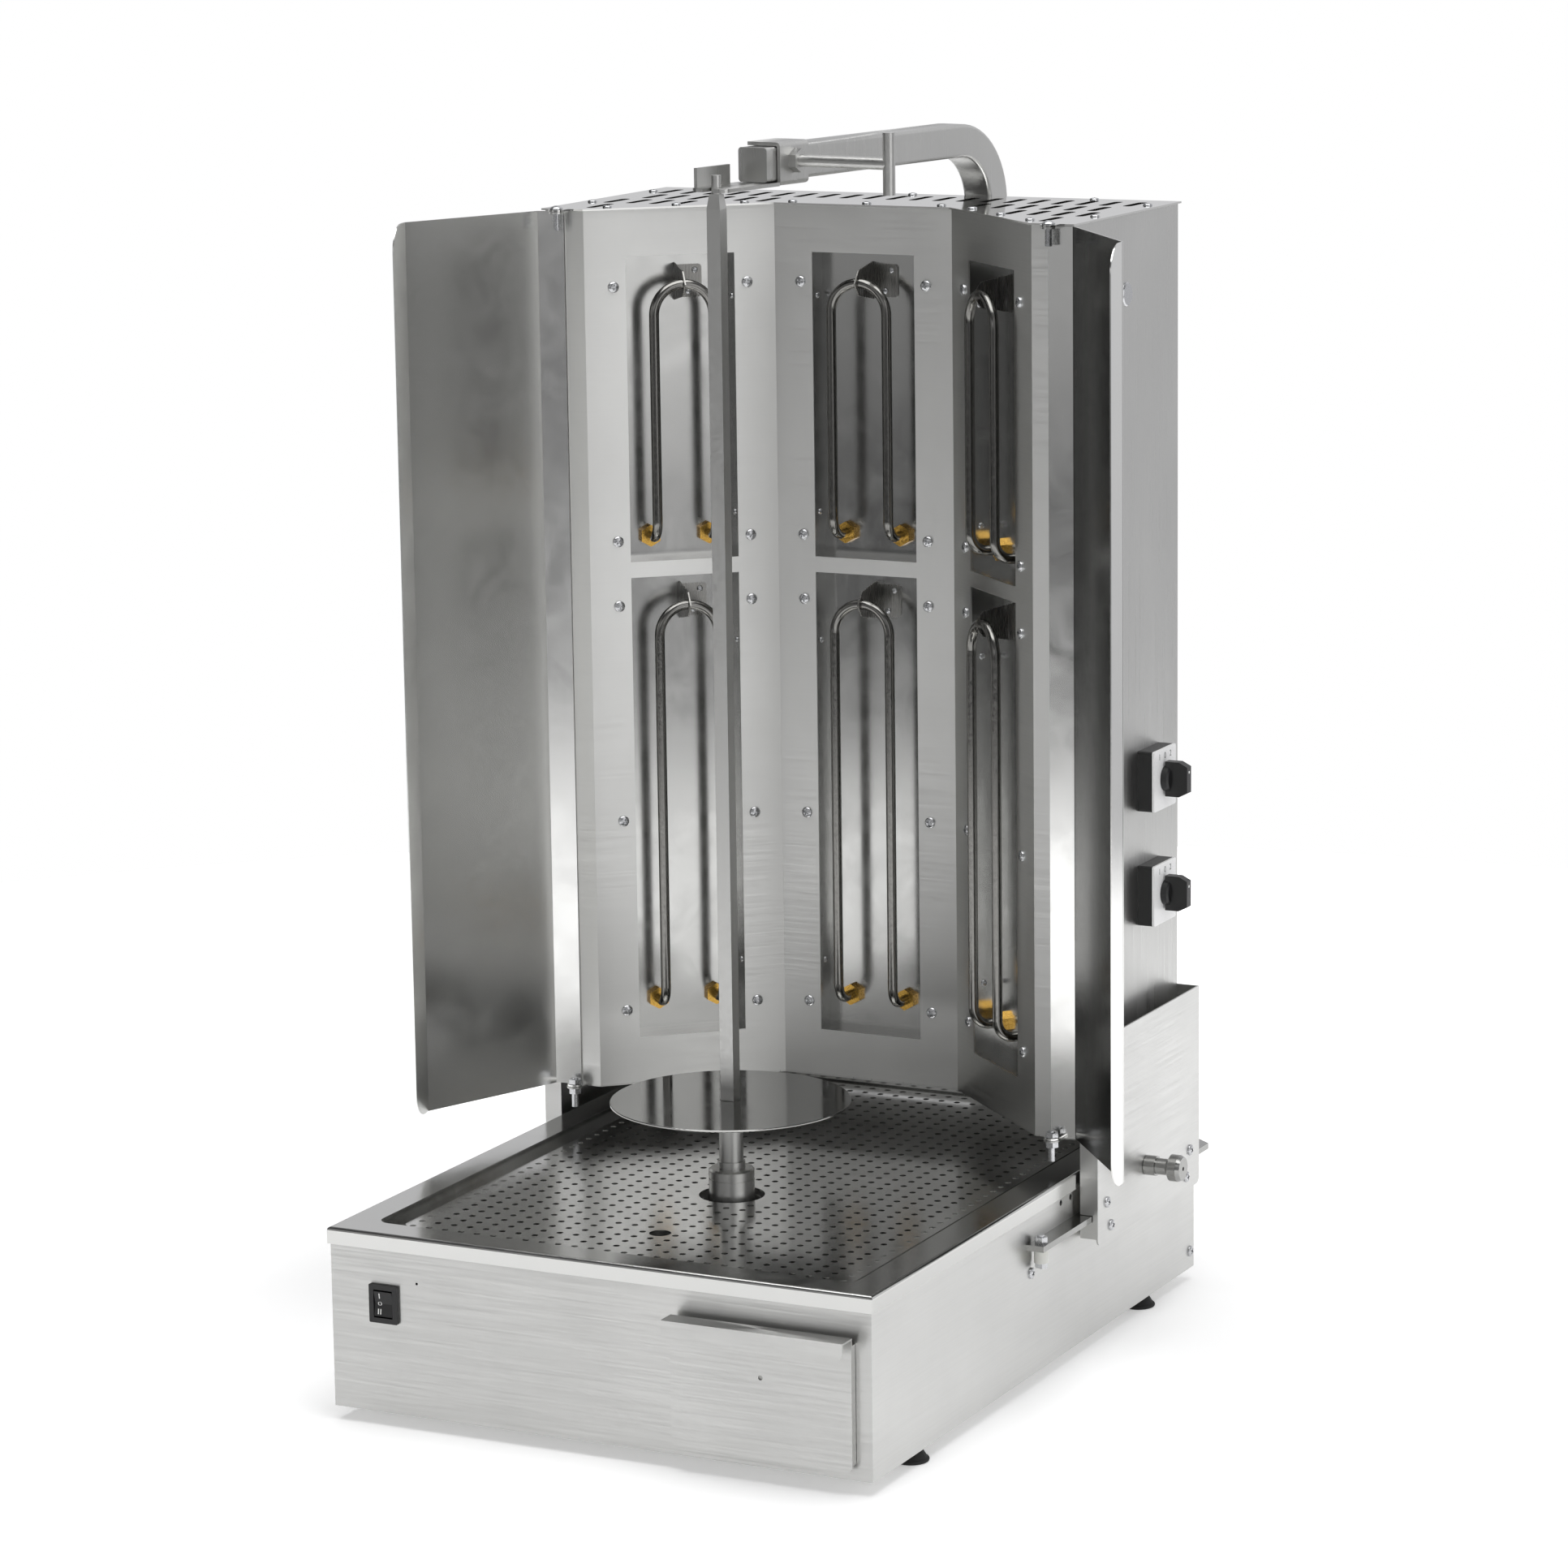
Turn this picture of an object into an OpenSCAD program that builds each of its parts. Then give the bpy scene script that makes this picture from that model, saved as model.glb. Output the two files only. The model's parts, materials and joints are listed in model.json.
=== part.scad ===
// Electric doner kebab grill: a motor-driven upright spit on a square base, with a heater
// tower of three panels behind it, two hinged wings and a top bearing on a bent arm.
// Millimetres, +Z up, +Y to the rear. The origin lies on the counter, straight under the spit.

/* [Sheet metal] */
// Thickness of the casing sheet
sheet = 1.5; // [1:0.1:2]
// Thickness of the thinner sheet of the panels, reflectors and drawer
thin_sheet = 1.2; // [0.8:0.1:1.5]

/* [Base] */
// Width over the side walls
base_w = 486; // [476:1:496]
// From the spit axis to the front wall
base_front = 240.5; // [234:0.5:250]
// Height of the walls that shows below the polished lip
base_h = 149; // [145:1:155]
// Height of the rubber feet
foot_h = 12; // [10:0.5:16]
// Diameter of the rubber feet at the counter
foot_d = 30; // [24:1:32]
// Diameter of the feet's necks
foot_neck_d = 18; // [14:1:22]
// From the side walls to the centres of the feet
foot_inset = 13; // [12:0.5:20]
// From the front wall to the front feet
foot_front = 96.5; // [80:0.5:120]
// Sheet left behind the post of the arm
post_margin = 5; // [4.5:0.5:8]

/* [Polished lip and tray] */
// Height of the lip band
lip_h = 14; // [12:0.5:17]
// Overhang of the lip beyond the walls
lip_out = 2; // [1.6:0.1:3]
// Width of the flat lip
lip_w = 29; // [26:0.5:32]
// Radius of the lip's outer edge
lip_round = 3; // [2:0.5:4]
// Depth of the tray from the lip's top to the shelf under the plate
tray_depth = 8.5; // [7:0.5:10]
// Gap between the plate and the tray's side walls
plate_gap = 12; // [8:0.5:13]
// Gap between the plate and the tray's rear wall
plate_rear_gap = 6; // [4:0.5:13]
// Gap between the plate and the tray's front wall
plate_front_gap = 21; // [18:0.5:24]
// Pitch of the plate's drain holes, both ways
hole_pitch = 15; // [14:0.5:18]
// Diameter of the drain holes
hole_d = 5.5; // [4:0.5:7]
// Diameter of the plate's hole round the drive
plate_bore = 55; // [50:1:60]
// Diameter of the finger hole that lifts the plate
finger_d = 18; // [16:1:22]
// From the spit axis to the finger hole
finger_y = 128; // [110:1:140]

/* [Drawer] */
// From the bracket of the drive to the drawer's front
drawer_clear = 9; // [6:0.5:14]
// From the drawer's upper edge up to the lip
drawer_drop = 20; // [18:0.5:26]
// From the drawer's front to the base's right side
drawer_inset = 14; // [12:1:18]
// Height of the drawer's lower edge above the counter
drawer_z = 20; // [18:1:24]
// How far the front stands ahead of the base
drawer_proud = 7.5; // [6:0.5:9]
// Forward reach of the folded handle
handle_out = 16; // [14:0.5:20]
// Drop of the folded handle
handle_drop = 14; // [10:0.5:17]
// Length of the drawer's box
drawer_l = 280; // [240:5:300]

/* [Drive and spit] */
// Diameter of the drive socket
socket_d = 38; // [34:1:42]
// Height of the socket's top above the lip
socket_up = 16.3; // [14:0.1:20]
// Side of the square spit bar
spit_w = 12; // [10:0.5:14]
// Diameter of the meat disc
disc_d = 200; // [180:5:220]
// Thickness of the meat disc
disc_t = 2; // [1.5:0.5:3]
// Height of the disc's underside above the lip
disc_up = 72; // [60:1:80]
// Diameter of the sleeve that carries the disc
sleeve_d = 20; // [18:0.5:24]
// Diameter of the pin at the spit's top
pin_d = 8; // [7:0.5:9]

/* [Heater casing] */
// From the lip's top up to the casing's underside
heater_gap = 29; // [25:0.5:37]
// Height of the casing
heater_h = 760.5; // [720:0.5:780]
// From the spit axis to the casing's front flanges
strip_y = 155; // [150:0.5:165]
// Width of the centre panel
centre_w = 166.5; // [160:0.5:175]
// Width of each side panel
panel_w = 168; // [160:0.5:176]
// Width of the front panel's flanges beside the side panels
flange_w = 36.3; // [34:0.1:40]
// Angle that the side panels turn forward
panel_angle = 42.7; // [40:0.1:45]
// Depth of the casing behind the centre panel
casing_back = 110; // [90:1:120]
// Width of each heater window
window_w = 96; // [90:1:102]
// Sheet left above and below the windows
window_margin = 40; // [36:0.5:44]
// Height of the lower windows
lower_window_h = 405; // [390:1:420]
// Height of the bar between the windows
window_bar = 13.5; // [10:0.5:18]
// Depth of the reflector boxes
reflector_d = 20; // [18:0.5:24]

/* [Heating elements] */
// Diameter of the element tube
element_d = 8.5; // [7:0.5:9]
// Distance between the two legs
element_legs = 52; // [48:1:56]
// How far the tube stands ahead of the panel
element_out = 9; // [7:0.5:11]
// Radius of the bend into the back wall
element_bend = 15; // [13:0.5:17]
// From a window's top to the element's arch
arch_drop = 20; // [17:0.5:24]
// From a window's foot to the element's nuts, upper windows
upper_nut_rise = 20; // [17:0.5:24]
// From a window's foot to the element's nuts, lower windows
lower_nut_rise = 30; // [24:0.5:34]
// Width across the flats of the brass nuts
nut_flats = 16.5; // [14:0.5:18]

/* [Wings] */
// Thickness of the wing sheet
wing_t = 1; // [0.8:0.1:1.2]
// Width of the strip along the hinge
wing_strip = 22.3; // [20:0.1:23]
// Width of the main leaf
wing_main = 141; // [120:1:150]
// Width of the inner lip
wing_lip = 31; // [26:1:36]
// Angle of the main leaf outwards when the wing is on its stop
wing_open = 39; // [34:0.5:42]
// Angle that the lip is folded inwards
wing_fold = 33.7; // [28:0.1:38]
// Radius of the lip's free corners
wing_corner = 22; // [18:1:25]
// How far the left wing is turned in from its stop
left_turn = 17; // [0:1:40]
// Diameter of the hinge bolts
bolt_d = 6; // [5:0.5:7]

/* [Carriage] */
// Distance between the base wall and the carriage plates' outer face
carriage_out = 20; // [19:0.5:24]
// From the lip's lower edge down to the plates' lower edge
carriage_drop = 49; // [46:1:54]
// Height of the carriage plates
carriage_h = 176; // [165:1:190]
// Width of the guide bars
guide_w = 15; // [13:0.5:16]
// Thickness of the guide bars
guide_t = 5; // [4:0.5:6]
// From the lip's lower edge down to the guide bars' underside
guide_drop = 28; // [27:0.5:30]
// From the guide bar's front end to the spit axis
guide_front = 55; // [50:1:60]
// Diameter of the lock knob's head
lock_d = 23; // [20:0.5:25]
// Length of the lock knob outside the plate
lock_l = 33.6; // [28:0.2:38]

/* [Switches] */
// Side of a switch's face plate
switch_w = 48; // [44:1:50]
// Height of a switch's face plate
switch_h = 52; // [48:1:56]
// Depth of a switch's body outside the wall
switch_d = 15.3; // [12:0.1:18]
// Height of the lower switch above the casing's underside
switch_rise = 180; // [170:1:190]
// Distance between the two switches
switch_step = 99; // [90:1:110]
// Length of a switch knob's grip
knob_d = 30; // [26:1:34]
// Diameter of a switch knob's foot
knob_foot_d = 22; // [18:1:26]
// How far a knob stands out of its face plate
knob_l = 22; // [18:0.5:26]

/* [Arm and top bearing] */
// Side of the square arm tube
arm_w = 28; // [25:1:29]
// Radius of the arm tube's corners
arm_round = 3; // [2:0.5:4]
// Centre-line radius of the arm's bend
arm_bend = 58; // [50:1:70]
// Angle of the arm in plan, away from the depth axis
arm_angle = 8.2; // [6:0.1:9]
// Height of the arm tube's underside above the casing
arm_gap = 37.5; // [36:0.5:50]
// From the spit axis to the arm's front end
arm_end = 53; // [48:1:60]
// Length of the bearing sleeve on the arm
sleeve_l = 40.5; // [36:0.5:50]
// From the arm's front end to the sleeve
sleeve_back = 12; // [8:1:20]
// Thickness of the bearing sleeve's steel
bearing_t = 3; // [2:0.5:3.5]
// Length of the clamp screw outside the sleeve
clamp_l = 92; // [70:1:95]
// Height of the clamp screw above the arm tube's middle
clamp_rise = 2; // [0:0.5:4]
// Length of the clamp screw's cross bar
clamp_bar = 50; // [40:1:55]

/* [Hidden] */
$fn = 48;

// one overrun serves all cuts
over = 1;
// play of a turning fit, on the radius
play = 0.05;
// gap between a screw and its hole, on the radius
hole_play = 0.1;
// gap between pieces that slide or turn past each other
run_gap = 0.3;
// wider gap of sheet parts that slide
slide_gap = 0.5;

// places of the base
floor_z = foot_h;
lip_top = base_h + lip_h;
shelf_z = lip_top - tray_depth;
half_w = base_w / 2;
lip_seat = sqrt(max(0, pow(lip_round - sheet, 2) - pow(lip_round - lip_out, 2)));
wall_top = lip_top - lip_round + lip_seat - run_gap / 2;
guide_z = base_h - guide_drop;
carriage_z = base_h - carriage_drop;

// places of the heater
centre_y = strip_y + panel_w * sin(panel_angle);
fold_x = centre_w / 2 + panel_w * cos(panel_angle);
casing_x = fold_x + flange_w;
casing_rear = centre_y + casing_back;
heater_z = lip_top + heater_gap;
heater_top = heater_z + heater_h;
upper_window_h = heater_h - 2 * window_margin - lower_window_h - window_bar;
lower_window_z = heater_z + window_margin;
upper_window_z = lower_window_z + lower_window_h + window_bar;
sheet_path = [
    [-casing_x, strip_y], [-fold_x, strip_y], [-centre_w / 2, centre_y],
    [centre_w / 2, centre_y], [fold_x, strip_y], [casing_x, strip_y]
];

// places of the arm: its post stands close behind the carriage's rear plate
post_gap = 0.6;
post_half = arm_w / 2 * (cos(arm_angle) + sin(arm_angle));
carriage_rear = casing_rear + sheet;
post_y = carriage_rear + post_gap + post_half;
post_s = post_y / cos(arm_angle);
arm_z = heater_top + arm_gap + arm_w / 2;
base_rear = post_y + post_half + post_margin;

// places of the lip and the tray
lip_x = half_w + lip_out;
lip_front = base_front + lip_out;
lip_rear = base_rear + lip_out;
tray_x = lip_x - lip_w;
tray_front = lip_front - lip_w;
post_clear = 3;
tray_rear = post_y - post_half - post_clear - sheet;
tray_corner = 12;
plate_x = tray_x - plate_gap;
plate_front = tray_front - plate_front_gap;
plate_rear = tray_rear - plate_rear_gap;
plate_corner = 8;
shelf_w = 24;

// screws
screw_d = 4;
screw_head_d = 9.5;
screw_head_h = 2.6;
screw_l = 8;

// unit vectors and sheet outlines
function unit(v) = v / norm(v);
function left_of(v) = [-v[1], v[0]];
function side_step(p, i, t) =
    i == 0 ? p[0] + t * left_of(unit(p[1] - p[0])) :
    i == len(p) - 1 ? p[i] + t * left_of(unit(p[i] - p[i - 1])) :
    let (a = left_of(unit(p[i] - p[i - 1])), b = left_of(unit(p[i + 1] - p[i])))
    p[i] + t * (a + b) / (1 + a * b);
// outline of a sheet folded along the path p, its thickness t on the path's left
function folded(p, t) = concat(p, [for (i = [len(p) - 1:-1:0]) side_step(p, i, t)]);
// y of the panels' front surface at a place x across the heater
function panel_y(x) =
    abs(x) < centre_w / 2 ? centre_y :
    abs(x) < fold_x ? centre_y - (abs(x) - centre_w / 2) * tan(panel_angle) : strip_y;

// rectangle centred on the origin with true round corners
module rounded(w, h, r) {
    square([w - 2 * r, h], center = true);
    square([w, h - 2 * r], center = true);
    for (x = [-1, 1], y = [-1, 1]) translate([x * (w / 2 - r), y * (h / 2 - r)]) circle(r);
}

// rectangle from x0,y0 to x1,y1 with true round corners
module rounded_span(x0, y0, x1, y1, r) {
    translate([(x0 + x1) / 2, (y0 + y1) / 2]) rounded(x1 - x0, y1 - y0, r);
}

// slot with round ends, its length along Y
module round_slot(w, l) {
    square([w, l - w], center = true);
    for (y = [-1, 1]) translate([0, y * (l - w) / 2]) circle(w / 2);
}

// block from its low corner to its high corner
module span(x0, y0, z0, x1, y1, z1) {
    translate([x0, y0, z0]) cube([x1 - x0, y1 - y0, z1 - z0]);
}

// hexagon of a given width across the flats
module hexagon(flats) {
    circle(flats / 2 / cos(30), $fn = 6);
}

// pan-head screw: its seat at z = 0, its head above, its shank below
module pan_screw(d, head_d, head_h, l) {
    rotate_extrude() {
        square([head_d / 2, head_h / 3]);
        intersection() {
            square([head_d / 2, head_h]);
            translate([0, head_h - head_dome(head_d, head_h)]) circle(head_dome(head_d, head_h), $fn = 96);
        }
        translate([0, -l]) square([d / 2, l]);
    }
}
// radius of the dome that covers a head
function head_dome(d, h) = (d * d / 4 + h * h * 4 / 9) / (h * 4 / 3);

// frame of a heater panel: X along the panel from its middle, Y into the casing
module on_panel(i) {
    if (i == 0) translate([0, centre_y, 0]) children();
    else translate([i * (centre_w / 2 + fold_x) / 2, (centre_y + strip_y) / 2, 0])
        rotate([0, 0, -i * panel_angle]) children();
}

// frame of the arm: X to its right, Y along it to the rear
module on_arm() {
    rotate([0, 0, -arm_angle]) children();
}

// base: front and side walls, folded from one sheet
gearbox_w = 100;
bracket_leg = 12;
rocker_in = 49.5;
rocker_drop = 45;
rocker_x = half_w - rocker_in;
rocker_z = base_h - rocker_drop;
rocker_hole_w = 20;
rocker_hole_h = 26;
pilot_d = 2.2;
pilot_in = 80;
pilot_drop = 25;
wall_hole_d = 5;
wall_hole_drop = 5;
wall_hole_fronts = [30, 10];
side_screw_front = 303.5;
side_screw_drop = 49;
rear_screw_inset = 9;
rear_screw_up = 15.5;
rear_flange = 18;
gland_in = 93;
gland_up = 48;
gland_x = half_w - gland_in;
gland_z = floor_z + gland_up;
gland_d = 20;
drawer_x1 = half_w - drawer_inset;
drawer_x0 = gearbox_w / 2 + bracket_leg + drawer_clear;
drawer_w = drawer_x1 - drawer_x0;
drawer_h = base_h - drawer_drop - drawer_z;
drawer_gap = 2;
box_inset = 8;
box_x0 = drawer_x0 + box_inset;
box_x1 = drawer_x1 - box_inset;
box_z0 = drawer_z + box_inset - sheet;
box_z1 = drawer_z + drawer_h - box_inset;

module base_housing() {
    color("silver") difference() {
        translate([0, 0, floor_z]) linear_extrude(wall_top - floor_z) difference() {
            translate([-half_w, -base_front]) square([base_w, base_front + base_rear]);
            translate([-half_w + sheet, -base_front + sheet])
                square([base_w - 2 * sheet, base_front + base_rear]);
        }
        span(box_x0 - drawer_gap, -base_front - over, box_z0 - drawer_gap,
             box_x1 + drawer_gap, -base_front + sheet + over, box_z1 + drawer_gap);
        span(-rocker_x - rocker_hole_w / 2, -base_front - over, rocker_z - rocker_hole_h / 2,
             -rocker_x + rocker_hole_w / 2, -base_front + sheet + over, rocker_z + rocker_hole_h / 2);
        translate([pilot_in - half_w, -base_front + sheet + over, base_h - pilot_drop]) rotate([90, 0, 0])
            cylinder(h = sheet + 2 * over, d = pilot_d);
        for (m = [-1, 1]) {
            for (y = wall_hole_fronts) translate([m * half_w, strip_y - y, base_h - wall_hole_drop])
                rotate([0, 90, 0]) cylinder(h = 2 * sheet + over, d = wall_hole_d, center = true);
            for (p = base_screw_places()) translate([m * half_w, p[0], p[1]])
                rotate([0, 90, 0]) cylinder(h = 2 * sheet + over, d = screw_d + 2 * hole_play, center = true);
        }
    }
}

// y and z of the screws in each side wall
function base_screw_places() = [
    [side_screw_front - base_front, base_h - side_screw_drop],
    [base_rear - rear_screw_inset, floor_z + rear_screw_up]
];

// base: rear panel, whose flanges the rear screws hold
module rear_panel() {
    color("silver") difference() {
        union() {
            span(sheet - half_w, base_rear - sheet, floor_z, half_w - sheet, base_rear, wall_top);
            for (m = [0, 1]) mirror([m, 0, 0])
                span(half_w - 2 * sheet, base_rear - rear_flange, floor_z + sheet,
                     half_w - sheet, base_rear, wall_top);
        }
        translate([-gland_x, base_rear + over, gland_z]) rotate([90, 0, 0])
            cylinder(h = sheet + 2 * over, d = gland_d + 2 * hole_play);
        for (m = [-1, 1]) translate([m * half_w, base_screw_places()[1][0], base_screw_places()[1][1]])
            rotate([0, 90, 0]) cylinder(h = 4 * sheet + over, d = screw_d + 2 * hole_play, center = true);
    }
}

module base_screws() {
    color("gainsboro") for (m = [0, 1]) mirror([m, 0, 0]) for (p = base_screw_places())
        translate([half_w, p[0], p[1]]) rotate([0, 90, 0])
            pan_screw(screw_d, screw_head_d, screw_head_h, screw_l);
}

// base: floor with motor vents
vent_w = 6;
vent_l = 60;
vent_step = 14;
vent_count = 7;

module base_floor() {
    color("silver") translate([0, 0, floor_z]) linear_extrude(sheet) difference() {
        translate([-half_w + sheet, -base_front + sheet])
            square([base_w - 2 * sheet, base_front + base_rear - 2 * sheet]);
        for (i = [0:vent_count - 1])
            translate([(i - (vent_count - 1) / 2) * vent_step, motor_y + motor_l / 2])
                round_slot(vent_w, vent_l);
    }
}

module rubber_feet() {
    foot_rear = base_front - foot_front;
    color("#1c1c1c") for (x = [-1, 1], y = [-foot_rear, base_rear - foot_front])
        translate([x * (half_w - foot_inset), y, 0]) rotate_extrude() {
            square([foot_neck_d / 2, foot_h]);
            square([foot_d / 2 - foot_bevel, 2 * foot_bevel]);
            translate([foot_d / 2 - foot_bevel, foot_bevel]) circle(foot_bevel);
            // slope from the flange up to the neck
            polygon([
                [0, 2 * foot_bevel], [foot_d / 2 - foot_bevel, 2 * foot_bevel],
                [foot_neck_d / 2, foot_h - foot_bevel], [0, foot_h - foot_bevel]
            ]);
        }
}
foot_bevel = 1.6;

// polished lip round the tray, with the shelf that carries the plate
module tray_frame() {
    color("whitesmoke") difference() {
        translate([0, 0, base_h]) union() {
            // flat lip, skirt and tray wall
            difference() {
                lip_block(0, lip_h);
                translate([0, 0, -over]) lip_block(sheet, lip_h - sheet + over);
                translate([0, 0, -over]) linear_extrude(lip_h + 2 * over)
                    rounded_span(-tray_x, -tray_front, tray_x, tray_rear, tray_corner);
            }
            difference() {
                translate([0, 0, shelf_z - sheet - base_h]) linear_extrude(tray_depth + sheet)
                    rounded_span(-tray_x - sheet, -tray_front - sheet, tray_x + sheet, tray_rear + sheet,
                                 tray_corner + sheet);
                translate([0, 0, shelf_z - base_h]) linear_extrude(tray_depth + over)
                    rounded_span(-tray_x, -tray_front, tray_x, tray_rear, tray_corner);
                translate([0, 0, shelf_z - sheet - base_h - over]) linear_extrude(tray_depth + sheet)
                    rounded_span(-tray_x + shelf_w, -tray_front + shelf_w, tray_x - shelf_w,
                                 tray_rear - shelf_w, tray_corner);
            }
        }
        // hole for the post of the arm
        on_arm() translate([0, post_s, base_h - over]) linear_extrude(lip_h + 2 * over)
            rounded(arm_w + 2 * slide_gap, arm_w + 2 * slide_gap, arm_round + slide_gap);
    }
}

// solid lip block with round upper edges that meet in mitred corners, pulled in by t on its sides and top
module lip_block(t, h) {
    x = lip_x - t;
    y0 = -lip_front + t;
    y1 = lip_rear - t;
    r = lip_round - t;
    intersection() {
        translate([0, y1, 0]) rotate([90, 0, 0]) linear_extrude(y1 - y0) round_topped(-x, x, h, r);
        translate([-x, 0, 0]) rotate([90, 0, 90]) linear_extrude(2 * x) round_topped(y0, y1, h, r);
    }
}
// outline from u0 to u1 and up to h, its two upper corners round
module round_topped(u0, u1, h, r) {
    translate([u0, 0]) square([u1 - u0, h - r]);
    translate([u0 + r, 0]) square([u1 - u0 - 2 * r, h]);
    for (u = [u0 + r, u1 - r]) translate([u, h - r]) circle(r);
}

// perforated plate: the spit's axis lies a third of a pitch ahead of a row of holes
row_share = 1 / 3;

module perforated_plate() {
    columns = floor((plate_x - hole_d) / hole_pitch);
    rows_front = floor((plate_front - hole_d / 4) / hole_pitch + row_share);
    rows_rear = floor((plate_rear - hole_d) / hole_pitch - row_share);
    keep_out = (plate_bore + hole_pitch) / 2;
    color("gainsboro") translate([0, 0, shelf_z]) linear_extrude(sheet) difference() {
        rounded_span(-plate_x, -plate_front, plate_x, plate_rear, plate_corner);
        circle(d = plate_bore);
        translate([0, -finger_y]) circle(d = finger_d);
        for (i = [-columns:columns], j = [-rows_front:rows_rear]) {
            x = i * hole_pitch;
            y = (j + row_share) * hole_pitch;
            if (norm([x, y]) > keep_out && norm([x, y + finger_y]) > (finger_d + hole_d) / 2 + sheet)
                translate([x, y]) circle(d = hole_d);
        }
    }
}

// drip pan under the plate: it leads the fat over to the drawer
pan_depth = 14;
pan_rim = 12;
spout_d = 44;
spout_drop = 8;
spout_y = 60;
collar_gap = 5;
collar_d = socket_d + 2 * collar_gap;
pan_foot = shelf_z - sheet - pan_depth;

module drip_pan() {
    x = tray_x - shelf_w + pan_rim;
    y0 = -tray_front + shelf_w - pan_rim;
    y1 = tray_rear - shelf_w + pan_rim;
    z1 = shelf_z - sheet;
    spout_x = (drawer_x0 + drawer_x1) / 2;
    color("lightgray") difference() {
        union() {
            translate([0, 0, z1 - pan_depth]) difference() {
                linear_extrude(pan_depth) rounded_span(-x + pan_rim, y0 + pan_rim, x - pan_rim, y1 - pan_rim,
                                                       tray_corner);
                translate([0, 0, thin_sheet]) linear_extrude(pan_depth)
                    rounded_span(-x + pan_rim + thin_sheet, y0 + pan_rim + thin_sheet,
                                 x - pan_rim - thin_sheet, y1 - pan_rim - thin_sheet, tray_corner - thin_sheet);
            }
            translate([0, 0, z1 - thin_sheet]) linear_extrude(thin_sheet) difference() {
                rounded_span(-x, y0, x, y1, tray_corner);
                rounded_span(-x + pan_rim + thin_sheet, y0 + pan_rim + thin_sheet,
                             x - pan_rim - thin_sheet, y1 - pan_rim - thin_sheet, tray_corner - thin_sheet);
            }
            translate([0, 0, z1 - pan_depth])
                cylinder(h = pan_depth - thin_sheet, d = collar_d + 2 * thin_sheet);
            translate([spout_x, -spout_y, z1 - pan_depth - spout_drop])
                cylinder(h = spout_drop + thin_sheet, d = spout_d + 2 * thin_sheet);
        }
        translate([0, 0, z1 - pan_depth - over]) cylinder(h = pan_depth + 2 * over, d = collar_d);
        translate([spout_x, -spout_y, z1 - pan_depth - spout_drop - over])
            cylinder(h = spout_drop + thin_sheet + 2 * over, d = spout_d);
    }
}

// power switch: a frame clipped into the front wall and a rocker with three positions
bezel_w = 26;
bezel_h = 32;
bezel_t = 3;
rocker_gap = 0.5;
rocker_w = rocker_hole_w - 2 * thin_sheet - 2 * rocker_gap;
rocker_h = rocker_hole_h - 2 * thin_sheet - 4 * rocker_gap;
rocker_axis_in = 4;
rocker_body = 18;

module rocker_bezel() {
    w = rocker_hole_w - 2 * hole_play;
    h = rocker_hole_h - 2 * hole_play;
    color("#1a1a1c") translate([-rocker_x, -base_front, rocker_z]) rotate([-90, 0, 0]) difference() {
        union() {
            translate([0, 0, -bezel_t]) linear_extrude(bezel_t) rounded(bezel_w, bezel_h, 2 * rocker_gap);
            linear_extrude(rocker_body) square([w, h], center = true);
        }
        translate([0, 0, -bezel_t - over]) linear_extrude(rocker_body + bezel_t)
            square([w - 2 * thin_sheet, h - 2 * thin_sheet], center = true);
        translate([0, 0, rocker_axis_in]) rotate([0, 90, 0])
            cylinder(h = w + over, d = rocker_pin_d + 2 * play, center = true);
    }
}
rocker_pin_d = 3;

// profile of the rocker in its mid position: a shallow V with its pin at the origin
module power_rocker() {
    top = rocker_axis_in + bezel_t;
    color("#26262a") translate([-rocker_x, -base_front + rocker_axis_in, rocker_z]) {
        rotate([90, 0, 90]) linear_extrude(rocker_w, center = true) difference() {
            polygon([
                [-top, -rocker_h / 2 + rocker_gap], [-top + bezel_t / 2, 0], [-top, rocker_h / 2 - rocker_gap],
                [rocker_axis_in / 2, rocker_h / 4], [rocker_axis_in, 0], [rocker_axis_in / 2, -rocker_h / 4]
            ]);
        }
        rotate([0, 90, 0]) cylinder(h = rocker_hole_w - 2 * hole_play, d = rocker_pin_d, center = true);
    }
}

// drive: bracket, gearbox and motor under the spit
gearbox_l = 90;
gearbox_h = 58;
bracket_drop = 27;
bracket_top = pan_foot - bracket_drop;
motor_d = 62;
motor_l = 105;
motor_y = gearbox_l / 2;
shaft_d = 20;

module motor_bracket() {
    w = gearbox_w / 2 + bracket_leg;
    color("silver") difference() {
        union() {
            span(-w, -gearbox_l / 2, bracket_top, w, gearbox_l / 2, bracket_top + 2 * sheet);
            for (m = [0, 1]) mirror([m, 0, 0]) {
                span(w - 2 * sheet, -gearbox_l / 2, floor_z + sheet, w, gearbox_l / 2, bracket_top + sheet);
                span(w - bracket_leg, -gearbox_l / 2, floor_z + sheet, w, gearbox_l / 2, floor_z + 3 * sheet);
            }
        }
        translate([0, 0, bracket_top - over]) cylinder(h = 2 * sheet + 2 * over, d = shaft_d + 4 * slide_gap);
    }
}

module gearbox() {
    boss_d = 44;
    color("#6a6f74") difference() {
        union() {
            translate([0, 0, bracket_top - gearbox_h]) linear_extrude(gearbox_h)
                rounded(gearbox_w, gearbox_l, bracket_leg);
            translate([0, 0, bracket_top - gearbox_h - sheet]) cylinder(h = sheet, d = boss_d);
        }
        translate([0, 0, bracket_top - gearbox_h / 2]) cylinder(h = gearbox_h, d = shaft_d + 2 * play);
    }
}

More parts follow.
